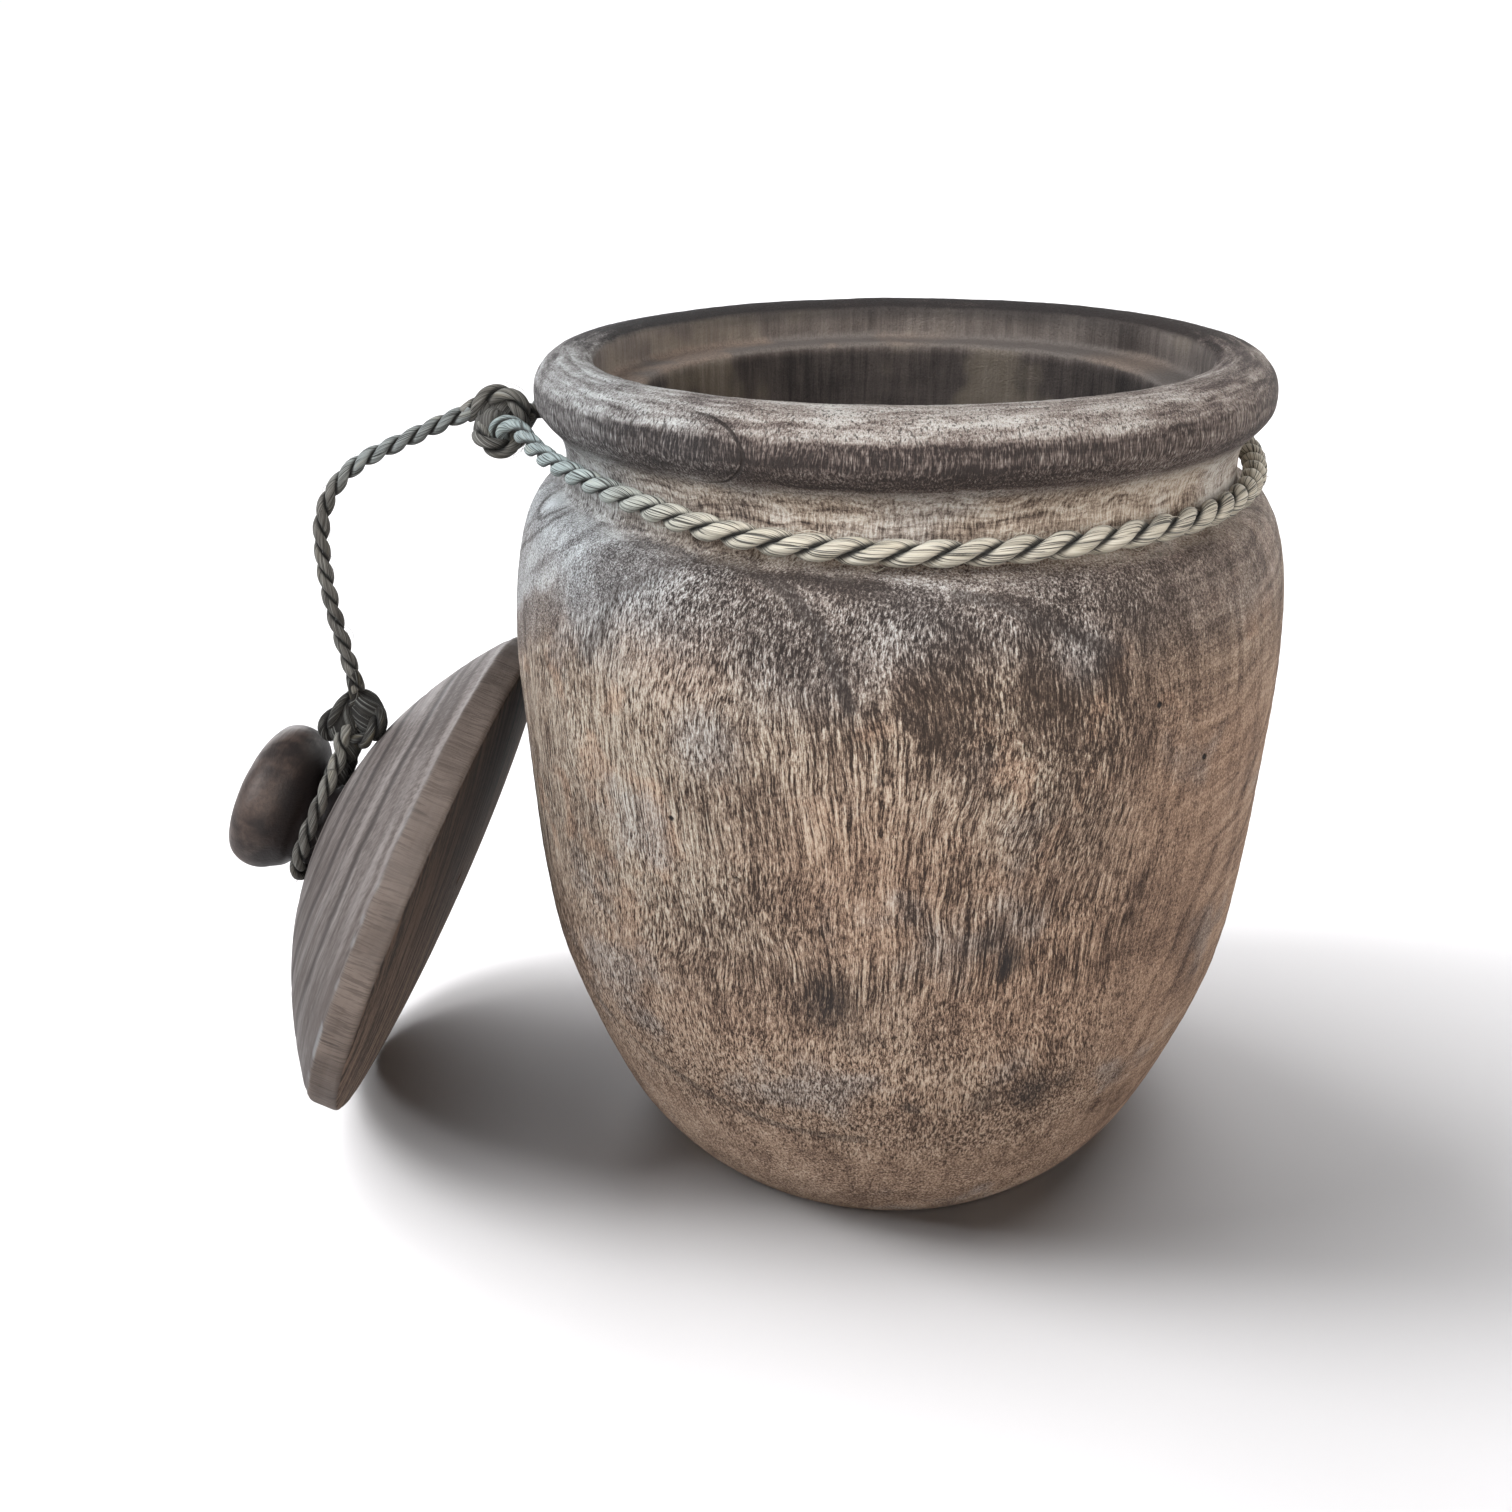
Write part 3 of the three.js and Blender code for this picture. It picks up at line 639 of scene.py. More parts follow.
    rough = g.mixf(g.step(fibre, 0.4, 0.6), 0.88, 0.74)
    height = fibre * 1.35 + fine_f * 0.3 - pores * (1.0 - off_grain * 0.7) * 0.3 - holes * 2.0 + tone2 * 0.4 + broad_f * 0.4 + speck * 0.15
    height = height - fleck_on * bead * 0.30 - oval_line * 0.8
    normal = g.bump(height, 0.00080, 1.0)
    return g.finish(col, rough, normal, spec=0.28)


def lid_material():
    g = Graph("lid_wood_weathered")
    p = g.mm()
    x, y, s = g.split(p)
    radial = g.math("SQRT", x * x + y * y)
    ang = g.math("ARCTAN2", y, x)
    wave = g.noise(p, 0.02, 2.0, 0.5) - 0.5
    wave2 = g.noise(g.vmath("ADD", p, (31.0, 7.0, 5.0)), 0.07, 2.0, 0.5) - 0.5

    # the rings lie level in the blank, so they run round the dome as thin dark lines
    level = s + wave * 2.6 + wave2 * 1.1
    lines = None
    for at, width, k in ((16.7, 1.05, 0.90), (23.6, 1.15, 0.92), (20.4, 0.6, 0.40), (27.6, 0.9, 0.65),
                         (12.4, 0.6, 0.30), (31.4, 0.8, 0.7), (14.4, 0.5, 0.26)):
        one = g.step(g.math("ABSOLUTE", level - at), width, width * 0.12) * k
        lines = one if lines is None else g.math("MAXIMUM", lines, one)
    soft = g.noise(g.join(x * 0.01, y * 0.01, level * 0.30), 1.0, 2.0, 0.55)

    fib = g.noise(g.join(x * 0.10, y * 1.15, s * 1.15), 1.0, 2.5, 0.6)
    fine = g.noise(g.join(x * 0.5, y * 2.2, s * 2.2), 1.0, 1.5, 0.5)
    ringed = g.noise(g.join(g.math("COSINE", ang) * 1.5, g.math("SINE", ang) * 1.5, level * 0.62), 1.0, 2.0, 0.50)
    grain = fib * 0.32 + fine * 0.12 + ringed * 0.56
    streak = g.step(grain, 0.35, 0.66)
    # painted light and shade: on the leaning lid the dome's upper part is painted lighter, and the upper parts of the
    # edge band and underside are painted darker below
    upper_painted_light_shade = g.step(x, -46.0, 50.0)
    light = g.mix(g.step(soft, 0.35, 0.65), g.mix(upper_painted_light_shade, (0.068, 0.057, 0.054), (0.150, 0.126, 0.118)),
                  g.mix(upper_painted_light_shade, (0.094, 0.083, 0.078), (0.218, 0.192, 0.182)))
    col = g.mix(streak, (0.066, 0.053, 0.048), light)
    col = g.mix(lines, col, (0.032, 0.024, 0.022))

    # upright edge: paler and browner, with short fine lines across it
    band = g.step(radial, 68.0, 68.7) * g.step(s, 8.6, 7.9) * g.step(s, -0.2, 0.4)
    across = g.noise(g.join(g.math("COSINE", ang + wave2 * 0.03) * 125.0, g.math("SINE", ang + wave2 * 0.03) * 125.0, s * 0.12), 1.0, 2.0, 0.65)
    band_col = g.mix(g.step(g.noise(p, 0.06, 2.0, 0.5), 0.38, 0.62), (0.098, 0.075, 0.063), (0.168, 0.132, 0.113))
    # painted shade: the edge band's upper part is darkened
    band_col = g.mix(upper_painted_light_shade * 0.55, band_col, (0.070, 0.054, 0.046))
    band_col = g.mix(g.step(across, 0.54, 0.40) * 0.80, band_col, (0.064, 0.048, 0.040))
    split = g.noise(g.join(g.math("COSINE", ang + wave2 * 0.03) * 46.0, g.math("SINE", ang + wave2 * 0.03) * 46.0, s * 0.08), 1.0, 1.0, 0.5)
    band_col = g.mix(g.step(split, 0.64, 0.70) * 0.70, band_col, (0.036, 0.027, 0.023))
    dark_patch = g.step(g.noise(g.vmath("ADD", p, (9.0, 9.0, 0.0)), 0.05, 2.0, 0.5), 0.56, 0.66) * 0.4
    band_col = g.mix(dark_patch, band_col, (0.10, 0.080, 0.070))
    col = g.mix(band, col, band_col)
    # ridge between dome and edge: a pale painted highlight where it catches the light
    ridge = g.step(g.math("ABSOLUTE", s - 8.3 + wave2 * 0.8), 0.85, 0.15) * g.step(radial, 66.0, 67.6)
    ridge_highlight = g.step(g.noise(p, 0.13, 2.0, 0.6), 0.40, 0.64) * g.step(g.math("ABSOLUTE", x - 2.0), 62.0, 20.0)
    col = g.mix(ridge * ridge_highlight * 0.45, col, (0.30, 0.305, 0.31))
    # underside: unsanded, with sawn streaks, painted nearly black-brown as shade, darkest towards its upper part
    under = g.step(s, 0.55, 0.15)
    sawn = g.noise(g.join(x * 0.025, y * 0.42 + wave * 3.0, 0.0), 1.0, 3.0, 0.6)
    under_shade_col = g.mix(g.step(sawn * 0.7 + fine * 0.3, 0.40, 0.60), g.mix(upper_painted_light_shade, (0.026, 0.016, 0.011), (0.012, 0.008, 0.006)), g.mix(upper_painted_light_shade, (0.250, 0.172, 0.130), (0.062, 0.040, 0.030)))
    col = g.mix(under, col, under_shade_col)
    rough = g.mixf(under, g.mixf(streak, 0.80, 0.62), 0.98)
    height = grain * 0.9 - lines * 0.5 + across * band * 0.8 + g.noise(p, 0.3, 2.0, 0.5) * 0.3
    normal = g.bump(height, 0.00028, 0.8)
    return g.finish(col, rough, normal, spec=0.38)


def knob_material():
    g = Graph("knob_wood_smooth")
    p = g.mm()
    x, y, s = g.split(p)
    fib = g.noise(g.join(x * 1.3, y * 0.16, s * 1.3), 1.0, 2.0, 0.6)
    mottle = g.noise(p, 0.10, 3.0, 0.6)
    col = g.mix(g.step(mottle, 0.40, 0.62), (0.014, 0.009, 0.008), (0.060, 0.040, 0.032))
    col = g.mix(g.step(fib, 0.58, 0.40) * 0.40, col, (0.022, 0.016, 0.014))
    warm = g.step(x + (mottle - 0.5) * 20.0, -4.0, -18.0) * g.step(s, 44.0, 54.0)
    col = g.mix(warm * 0.5, col, (0.125, 0.078, 0.060))
    # painted light: the knob's top, which faces up and to the left, is lighter
    top = g.step(s + (mottle - 0.5) * 12.0, 50.0, 60.0) * 0.35
    col = g.mix(top, col, (0.080, 0.060, 0.052))
    # painted shade: the knob's side towards the dome and the knot is painted near black
    col = g.mix(g.step(s + (mottle - 0.5) * 6.0, 52.5, 43.0) * 0.90, col, (0.012, 0.009, 0.009))
    rough = g.mixf(g.step(mottle, 0.4, 0.6), 0.62, 0.50)
    normal = g.bump(fib * 0.6 + mottle * 0.5, 0.0004, 0.6)
    return g.finish(col, rough, normal, spec=0.28)


def cord_material(name, pale, cool, dull_and_shade, crevice_shade, sheen):
    """spun fibre: the attribute fibre carries the yarn's own turn, tone and tint shift it along the cord"""
    g = Graph(name)
    f = g.attr("fibre", "Vector")
    tone = g.attr("tone")
    tint = g.attr("tint")
    depth = g.attr("depth")
    a, b, s = g.split(f)
    coarse = g.noise(g.join(a * 3.0, b * 3.0, s * 0.10), 1.0, 2.0, 0.6)
    fine = g.noise(g.join(a * 8.0, b * 8.0, s * 0.16), 1.0, 1.0, 0.5)
    hairs = g.noise(g.join(a * 5.2 + 9.0, b * 5.2, s * 0.13), 1.0, 0.0, 0.5)
    threads = coarse * 0.50 + fine * 0.50
    patch = g.noise(g.join(a * 0.5, b * 0.5, s * 0.09), 1.0, 2.0, 0.5)
    # tint shifts towards the cool colour; on the neck ring this is painted cool light
    col = g.mix(tint, pale, cool)
    col = g.mix(g.step(patch, 0.56, 0.66) * 0.5, col, g.mix(0.5, col, (0.36, 0.31, 0.20)))
    # tone darkens the cord towards the dull colour; on the neck ring this is painted shade
    col = g.mix(tone, col, dull_and_shade)
    # painted shade: the fine gaps between threads darken to the crevice colour
    col = g.mix(g.step(threads, 0.50, 0.40) * 0.70, col, g.mix(0.6, col, crevice_shade))
    col = g.mix(g.step(hairs, 0.43, 0.37) * 0.85, col, crevice_shade)
    col = g.mix(g.step(threads, 0.52, 0.64) * 0.34, col, g.mix(0.55, col, (0.80, 0.82, 0.78)))
    # painted shade: darkened down between the plies where they meet
    col = g.mix(g.step(depth, 0.88, 0.56) * 0.94, col, crevice_shade)
    normal = g.bump(threads - g.step(hairs, 0.40, 0.34) * 0.3, 0.00045, 0.9)
    return g.finish(col, 0.78, normal, spec=0.30, sheen=sheen, sheen_tint=(0.9, 0.95, 0.92, 1))


POT_MAT = pot_material()
LID_MAT = lid_material()
KNOB_MAT = knob_material()
CORD_MAT = cord_material("cord_pale", (0.520, 0.478, 0.392), (0.330, 0.392, 0.390), (0.086, 0.074, 0.066),
                         (0.012, 0.011, 0.010), 0.10)
DARK_MAT = cord_material("cord_dulled", (0.235, 0.228, 0.202), (0.245, 0.270, 0.268), (0.060, 0.052, 0.047),
                         (0.010, 0.009, 0.008), 0.07)
# painted shade: near-black cord for the knot and loop legs in the deep shade between knob and dome
SHADED_CORD_MAT = cord_material("cord_painted_shade", (0.021, 0.018, 0.014), (0.019, 0.019, 0.017), (0.008, 0.007, 0.006),
                          (0.006, 0.005, 0.005), 0.03)


# ------------------------------------------------------------------------------------- cords
def twisted(name, points, radius, pitch, material, closed=False, phase=0.0, tone=None, tint=None, taper=(0.0, 0.0),
            step=0.36, around=36, strays=0, seed=1, matrix=None, density=None, girth=None):
    """two-ply cord as one mesh: each ply is a flattened strand wound round the other"""
    path, s = catmull(points, step, closed)
    length = s[-1]
    t, n, b = carried_frames(path, closed)
    turns = length / pitch
    if closed:
        turns = max(1, round(turns))
    lay = -1.0
    # the lay is tighter in some stretches: wound is how far the turns have got, 0 to 1
    w = np.ones(len(s)) if density is None else density(s / length)
    wound = np.r_[0, np.cumsum((w[1:] + w[:-1]) / 2 * np.diff(s))]
    w, wound = w / wound[-1], wound / wound[-1]
    own = abs(2 * math.pi / pitch) / 0.585 + 0.15 / (0.585 * radius)
    own_turns = own * length
    if closed:
        own_turns = 2 * math.pi * round(own_turns / (2 * math.pi))
        path, s, t, n, b, w, wound = path[:-1], s[:-1], t[:-1], n[:-1], b[:-1], w[:-1], wound[:-1]
    rate = lay * 2 * math.pi * turns * w
    rows = len(path)
    ring = np.linspace(0, 2 * math.pi, around, endpoint=False)
    verts, faces, fib, tones, tints, depth = [], [], [], [], [], []
    tn = np.zeros(rows) if tone is None else tone(s / length)
    ti = np.zeros(rows) if tint is None else tint(s / length)
    size = 1.0 + 0.035 * hash_noise(np.stack([s * 0.09, s * 0, s * 0], 1), seed)
    if girth is not None:
        size = size * girth(s / length)
    for end, k in ((0, taper[0]), (1, taper[1])):
        if k:
            d = s if end == 0 else length - s
            size = size * (1 - 0.55 * (1 - np.sqrt(np.clip(d / k, 0, 1))))
    for ply in (0, 1):
        phi = lay * 2 * math.pi * turns * wound + phase + ply * math.pi + 0.16 * hash_noise(np.stack([s * 0.06, s * 0 + 7 * ply, s * 0], 1), seed + 3)
        er = np.cos(phi)[:, None] * n + np.sin(phi)[:, None] * b
        ep = -np.sin(phi)[:, None] * n + np.cos(phi)[:, None] * b
        c = 0.50 * radius * size
        tp = t + (rate * c)[:, None] * ep
        tp /= np.linalg.norm(tp, axis=1)[:, None]
        et = np.cross(tp, er)
        ar, at = 0.50 * radius * size, 0.585 * radius * size
        centre = path + c[:, None] * er
        ca, sa = np.cos(ring), np.sin(ring)
        flat = (np.abs(ca) ** 2.1 + np.abs(sa) ** 2.1) ** (-1 / 2.1)
        turn = ring[None, :] - (own_turns * wound)[:, None]
        key = np.stack([np.cos(turn), np.sin(turn), np.repeat(s[:, None] * 0.12, around, 1)], -1).reshape(-1, 3)
        groove = (0.055 * hash_noise(key * (2.6, 2.6, 1.0), seed + 11 + ply)
                  + 0.030 * hash_noise(key * (6.5, 6.5, 2.0), seed + 17 + ply)).reshape(rows, around)
        ro = flat[None, :] + groove
        v = (centre[:, None, :] + (ar[:, None] * ro * ca)[..., None] * er[:, None, :]
             + (at[:, None] * ro * sa)[..., None] * et[:, None, :])
        start = sum(len(q) for q in verts)
        verts.append(v.reshape(-1, 3))
        faces += grid_faces(rows, around, start, closed)
        fib.append(np.stack([np.cos(turn) + ply * 5.0, np.sin(turn), np.repeat(s[:, None], around, 1)], -1).reshape(-1, 3))
        out = np.linalg.norm(v - path[:, None, :], axis=2) / (radius * size)[:, None]
        depth.append(out.reshape(-1))
        tones.append(np.repeat(tn[:, None], around, 1).reshape(-1))
        tints.append(np.repeat(ti[:, None], around, 1).reshape(-1))
        if not closed:
            for row, order in ((0, 1), (rows - 1, -1)):
                k = sum(len(q) for q in verts)
                tip = centre[row] - t[row] * (0.25 if row == 0 else -0.25) * radius
                verts.append(tip[None])
                fib.append(np.array([[ply * 5.0, 0.0, s[row]]]))
                depth.append(np.array([0.6]))
                tones.append(np.array([tn[row]]))
                tints.append(np.array([ti[row]]))
                base = start + row * around
                faces += [[k, base + (j + 1) % around, base + j][::order] for j in range(around)]
    rng = np.random.default_rng(seed)
    for _ in range(strays):
        # a loose hair that lifts off the cord and comes back
        i = int(rng.uniform(0.04, 0.96) * rows)
        a0 = rng.uniform(0, 2 * math.pi)
        out_dir = math.cos(a0) * n[i] + math.sin(a0) * b[i]
        run = rng.uniform(2.5, 6.0)
        lift = rng.uniform(0.35, 1.1)
        side = np.cross(t[i], out_dir) * rng.uniform(-1.6, 1.6)
        q = np.array([path[i] + out_dir * radius * 0.94 - t[i] * run / 2,
                      path[i] + out_dir * (radius * 0.98 + lift) + side * 0.4,
                      path[i] + out_dir * radius * 0.97 + t[i] * run / 2 + side])
        hair, hs = catmull(q, 0.45)
        ht, hn, hb = carried_frames(hair)
        hr = np.linspace(0, 2 * math.pi, 5, endpoint=False)
        w = 0.055 * np.ones(len(hair))
        v = hair[:, None, :] + (w[:, None] * np.cos(hr))[..., None] * hn[:, None, :] + (w[:, None] * np.sin(hr))[..., None] * hb[:, None, :]
        start = sum(len(q2) for q2 in verts)
        verts.append(v.reshape(-1, 3))
        faces += grid_faces(len(hair), 5, start)
        faces += [[start + j for j in range(4, -1, -1)], [start + (len(hair) - 1) * 5 + j for j in range(5)]]
        fib.append(np.tile([0.5, 0.5, s[i]], (len(hair) * 5, 1)))
        depth.append(np.ones(len(hair) * 5))
        tones.append(np.full(len(hair) * 5, tn[i]))
        tints.append(np.full(len(hair) * 5, ti[i]))
    attributes = {"fibre": np.vstack(fib), "tone": np.concatenate(tones), "tint": np.concatenate(tints), "depth": np.concatenate(depth)}
    return add_mesh(name, np.vstack(verts), faces, material, attributes, matrix), path


TETHER = [
    (-102.6, -2.9, 190.0), (-106.6, -3.0, 188.8), (-112.5, -3.2, 186.4), (-118.8, -3.5, 183.7),
    (-125.2, -4.0, 181.0), (-131.5, -4.6, 178.0), (-137.0, -5.2, 173.8), (-141.2, -5.8, 168.4),
    (-143.5, -6.3, 162.0), (-144.1, -6.8, 155.2), (-143.9, -7.3, 148.2), (-143.2, -7.8, 140.8),
    (-142.0, -8.2, 133.4), (-140.6, -8.5, 126.0), (-139.2, -8.7, 118.1),
]
tether, tether_path = twisted("tether_cord", TETHER, 2.1, 12.0, DARK_MAT, phase=0.6, strays=10, seed=5,
                              tone=lambda u: 0.15 + 0.48 * ramp(u, 0.35, 0.55) + 0.22 * np.sin(u * 9.0 + 0.5) ** 2,
                              tint=lambda u: 1 - ramp(u, 0.3, 0.5))
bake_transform(tether)
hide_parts("tether_rope")

NECK = [
    (-159, 86.2, 187.6), (-152, 84.9, 187.1), (-145, 83.8, 186.5), (-138, 82.9, 185.7), (-128, 82.2, 184.2),
    (-117, 82.1, 182.3), (-105, 82.2, 181.0), (-93, 82.4, 180.4), (-82, 82.5, 180.2), (-71, 82.4, 180.3),
    (-60, 82.3, 180.4), (-45, 82.4, 180.3), (-30, 82.4, 180.4), (-15, 82.4, 180.8), (0, 82.6, 182.0),
    (15, 82.7, 183.6), (35, 82.5, 185.0), (60, 82.5, 185.7), (90, 82.5, 185.9), (120, 82.5, 186.2),
    (138, 82.6, 186.7), (150, 83.0, 187.1), (160, 84.9, 187.5),
]
neck_points = [(r * math.cos(math.radians(a)), r * math.sin(math.radians(a)), z) for a, r, z in NECK]
# the ring's two ends cross inside the knot and hook round each other
NECK_HOOK = [
    (-81.0, 26.8, 187.6), (-83.5, 22.2, 187.7), (-85.9, 17.6, 187.9), (-88.2, 12.9, 188.1), (-90.5, 8.3, 188.2),
    (-91.5, 6.1, 187.3), (-92.2, 4.3, 185.6), (-92.9, 2.3, 184.0), (-93.8, 0.1, 182.9), (-94.9, -2.2, 182.5),
    (-95.9, -4.3, 183.4), (-95.8, -6.0, 185.3), (-95.0, -7.8, 186.9), (-93.1, -8.9, 188.2), (-90.8, -10.1, 188.4),
    (-89.1, -12.0, 188.1), (-87.0, -16.7, 188.0), (-84.9, -21.5, 187.9), (-82.7, -26.2, 187.7),
]
neck_loop_points = neck_points + NECK_HOOK


def neck_painted_shade(u):
    # painted shade: darker on the far right and back, away from the light; pale in front, palest beside the knot on the
    # lit left
    right = ramp(u, 0.18, 0.36) * (1 - ramp(u, 0.90, 0.94))
    return 0.02 + 0.08 * ramp(u, 0.10, 0.18) * (1 - right) + 0.22 * right + 0.50 * ramp(u, 0.39, 0.46) * (1 - ramp(u, 0.90, 0.94))


# painted light: the ring's ends near the knot, on the lit left, take the cool tint
def neck_cool_light(u):
    return 1.0 - ramp(u, 0.03, 0.14) + ramp(u, 0.86, 0.92)


def neck_density(u):
    near = 1 - ramp(u, 0.0, 0.05) + ramp(u, 0.88, 0.95)
    return 0.97 + 0.22 * (1 - ramp(u, 0.08, 0.16)) + 0.22 * ramp(u, 0.28, 0.44) * (1 - ramp(u, 0.9, 1.0)) - 0.36 * near


def neck_girth(u):
    # drawn thin where it runs into the knot
    return 0.87 + 0.13 * ramp(u, 0.02, 0.14) - 0.13 * ramp(u, 0.86, 0.96)


neck_cord, _ = twisted("neck_cord", neck_loop_points, 2.72, 14.6, CORD_MAT, closed=True, phase=0.3, strays=46,
                       seed=9, tone=neck_painted_shade, tint=neck_cool_light, density=neck_density, girth=neck_girth)
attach(neck_cord, "neck_loop")
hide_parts("neck_rope")

NECK_DARK = [
    (-104.1, -2.9, 189.4), (-102.1, -3.2, 190.9), (-100.1, -3.5, 192.5), (-97.9, -3.5, 193.9), (-95.5, -3.4, 194.6),
    (-93.0, -3.5, 194.2), (-91.0, -3.8, 192.6), (-90.0, -3.9, 190.3), (-90.1, -3.8, 187.7), (-90.8, -4.0, 185.2),
    (-91.9, -5.5, 183.4), (-93.2, -7.4, 182.5), (-95.3, -8.9, 182.4), (-97.6, -9.1, 183.3), (-99.4, -7.9, 184.8),
    (-100.0, -5.8, 186.1), (-100.0, -3.5, 187.3), (-99.3, -1.2, 188.2), (-97.9, 0.8, 188.9), (-95.8, 2.1, 189.2),
    (-93.2, 2.3, 189.4), (-90.8, 1.5, 189.3), (-88.6, 0.1, 189.0), (-87.2, -1.0, 188.5),
]
neck_knot, _ = twisted("neck_knot_cord", NECK_DARK, 2.35, 14.0, DARK_MAT, phase=2.2, seed=21, strays=8,
                       taper=(0.0, 2.2), tone=lambda u: 0.45 + 0.30 * np.sin(u * 14) ** 2)
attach(neck_knot, "neck_loop")
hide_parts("neck_knot")

def knot_lump(name, lobes, material, body, seed, tone):
    """the closed middle of a drawn-up knot: overlapping lobes grooved like the plies that make them up"""
    verts, faces, fib, tones, tints, depth = [], [], [], [], [], []
    rows, cols = 40, 56
    for k, (centre, axis, half, fat, turn0) in enumerate(lobes):
        ax = np.array(axis, float)
        ax /= np.linalg.norm(ax)
        u = np.cross(ax, [0.3, 0.9, 0.2])
        u /= np.linalg.norm(u)
        v = np.cross(ax, u)
        th = np.linspace(0.02, math.pi - 0.02, rows)[:, None]
        ph = np.linspace(0, 2 * math.pi, cols, endpoint=False)[None, :]
        wind = 2 * ph + turn0 + np.cos(th) * 2.6
        ridge = 0.10 * (np.abs(np.sin(wind)) ** 0.6 - 0.55)
        q0 = np.stack([np.sin(th) * np.cos(ph), np.sin(th) * np.sin(ph), np.cos(th) + ph * 0], -1).reshape(-1, 3)
        ridge = ridge + 0.05 * hash_noise(q0 * 2.2 + 9 * k, seed).reshape(rows, cols)
        r = (1 + ridge)[..., None]
        pts = (np.array(centre) + r * (np.cos(th) * half)[..., None] * ax
               + r * (np.sin(th) * np.cos(ph) * fat)[..., None] * u + r * (np.sin(th) * np.sin(ph) * fat)[..., None] * v)
        start = sum(len(w) for w in verts)
        verts.append(pts.reshape(-1, 3))
        faces += grid_faces(rows, cols, start)
        faces += [list(range(start + cols - 1, start - 1, -1)), list(range(start + (rows - 1) * cols, start + rows * cols))]
        across = (wind / math.pi) * 3.0
        fib.append(np.stack([np.cos(wind), np.sin(wind), across + np.cos(th) * 2.0 + k * 7], -1).reshape(-1, 3))
        depth.append(np.clip(0.62 + 0.45 * np.abs(np.sin(wind)) ** 0.7, 0, 1).reshape(-1))
        tones.append(np.full(rows * cols, tone))
        tints.append(np.full(rows * cols, 0.5))
    attributes = {"fibre": np.vstack(fib), "tone": np.concatenate(tones), "tint": np.concatenate(tints), "depth": np.concatenate(depth)}
    obj = add_mesh(name, np.vstack(verts), faces, material, attributes)
    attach(obj, body)
    return obj


neck_lump = knot_lump("neck_knot_lump", (
    ((-97.6, -2.6, 186.4), (0.6, 0.1, 0.8), 5.2, 3.6, 0.4),
    ((-93.4, 0.8, 186.6), (0.8, 0.2, 0.3), 4.2, 3.9, 1.7),
    ((-95.6, -1.2, 190.6), (0.9, 0.1, 0.1), 3.6, 2.7, 2.6),
    ((-98.8, -4.0, 187.2), (0.6, 0.0, 0.8), 4.6, 2.9, 0.9),
    ((-99.8, -2.6, 190.4), (0.8, 0.0, 0.5), 3.6, 2.5, 1.3),
), DARK_MAT, "neck_loop", 51, 0.80)
knob_lump = knot_lump("knob_knot_lump", (
    ((-143.9, -8.9, 109.4), (0.5, 0.2, 0.9), 6.3, 4.3, 0.3),
    ((-137.9, -7.4, 110.6), (-0.3, 0.1, 0.95), 7.0, 4.5, 1.4),
    ((-140.9, -6.9, 112.6), (0.9, 0.2, 0.2), 4.6, 3.8, 2.2),
    ((-142.6, -9.8, 103.6), (0.15, 0.05, 1.0), 5.2, 2.9, 0.7),
), SHADED_CORD_MAT, "knob_loop", 57, 0.45)

KNOB_DARK = [
    (-140.0, -8.7, 123.5), (-139.7, -8.8, 120.9), (-139.9, -8.4, 118.3), (-141.1, -8.3, 116.1), (-142.6, -10.0, 114.8),
    (-144.3, -11.5, 113.5), (-146.1, -12.2, 111.8), (-147.7, -12.1, 109.8), (-148.7, -11.1, 107.6),
    (-149.0, -9.5, 105.6), (-148.2, -7.4, 104.4), (-146.7, -5.3, 104.4), (-144.9, -3.6, 105.2), (-142.6, -2.6, 106.0),
    (-140.3, -2.7, 107.1), (-138.4, -3.8, 108.5), (-137.1, -5.3, 110.2), (-135.7, -7.2, 111.3), (-134.4, -9.5, 111.3),
    (-134.0, -11.7, 110.2), (-134.7, -13.4, 108.3), (-136.4, -13.8, 106.5), (-138.5, -13.0, 105.3),
    (-140.4, -11.3, 104.9), (-142.3, -9.6, 105.1), (-143.4, -9.0, 105.8),
]
knob_knot, _ = twisted("knob_knot_cord", KNOB_DARK, 2.15, 15.0, SHADED_CORD_MAT, phase=1.0, seed=33, strays=8,
                       taper=(0.0, 2.0), tone=lambda u: 0.10 + 0.45 * np.sin(u * 11 + 1) ** 2)
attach(knob_knot, "knob_loop")
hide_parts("knob_knot")

# ------------------------------------------------------------------------- the lid's own frame
LEAN = math.radians(23.85)
lid_matrix = Matrix((
    (math.sin(LEAN), 0.0, -math.cos(LEAN), -121.2 * MM),
    (0.0, 1.0, 0.0, -8.5 * MM),
    (math.cos(LEAN), 0.0, math.sin(LEAN), (68.9 * math.cos(LEAN) - 0.5 * math.sin(LEAN)) * MM),
    (0.0, 0.0, 0.0, 1.0),
))


def lid_to_world(points):
    m = np.array(lid_matrix)
    q = np.asarray(points, float)
    return q @ m[:3, :3].T + m[:3, 3] / MM


def world_to_lid(points):
    m = np.array(lid_matrix)
    return (np.asarray(points, float) - m[:3, 3] / MM) @ m[:3, :3]


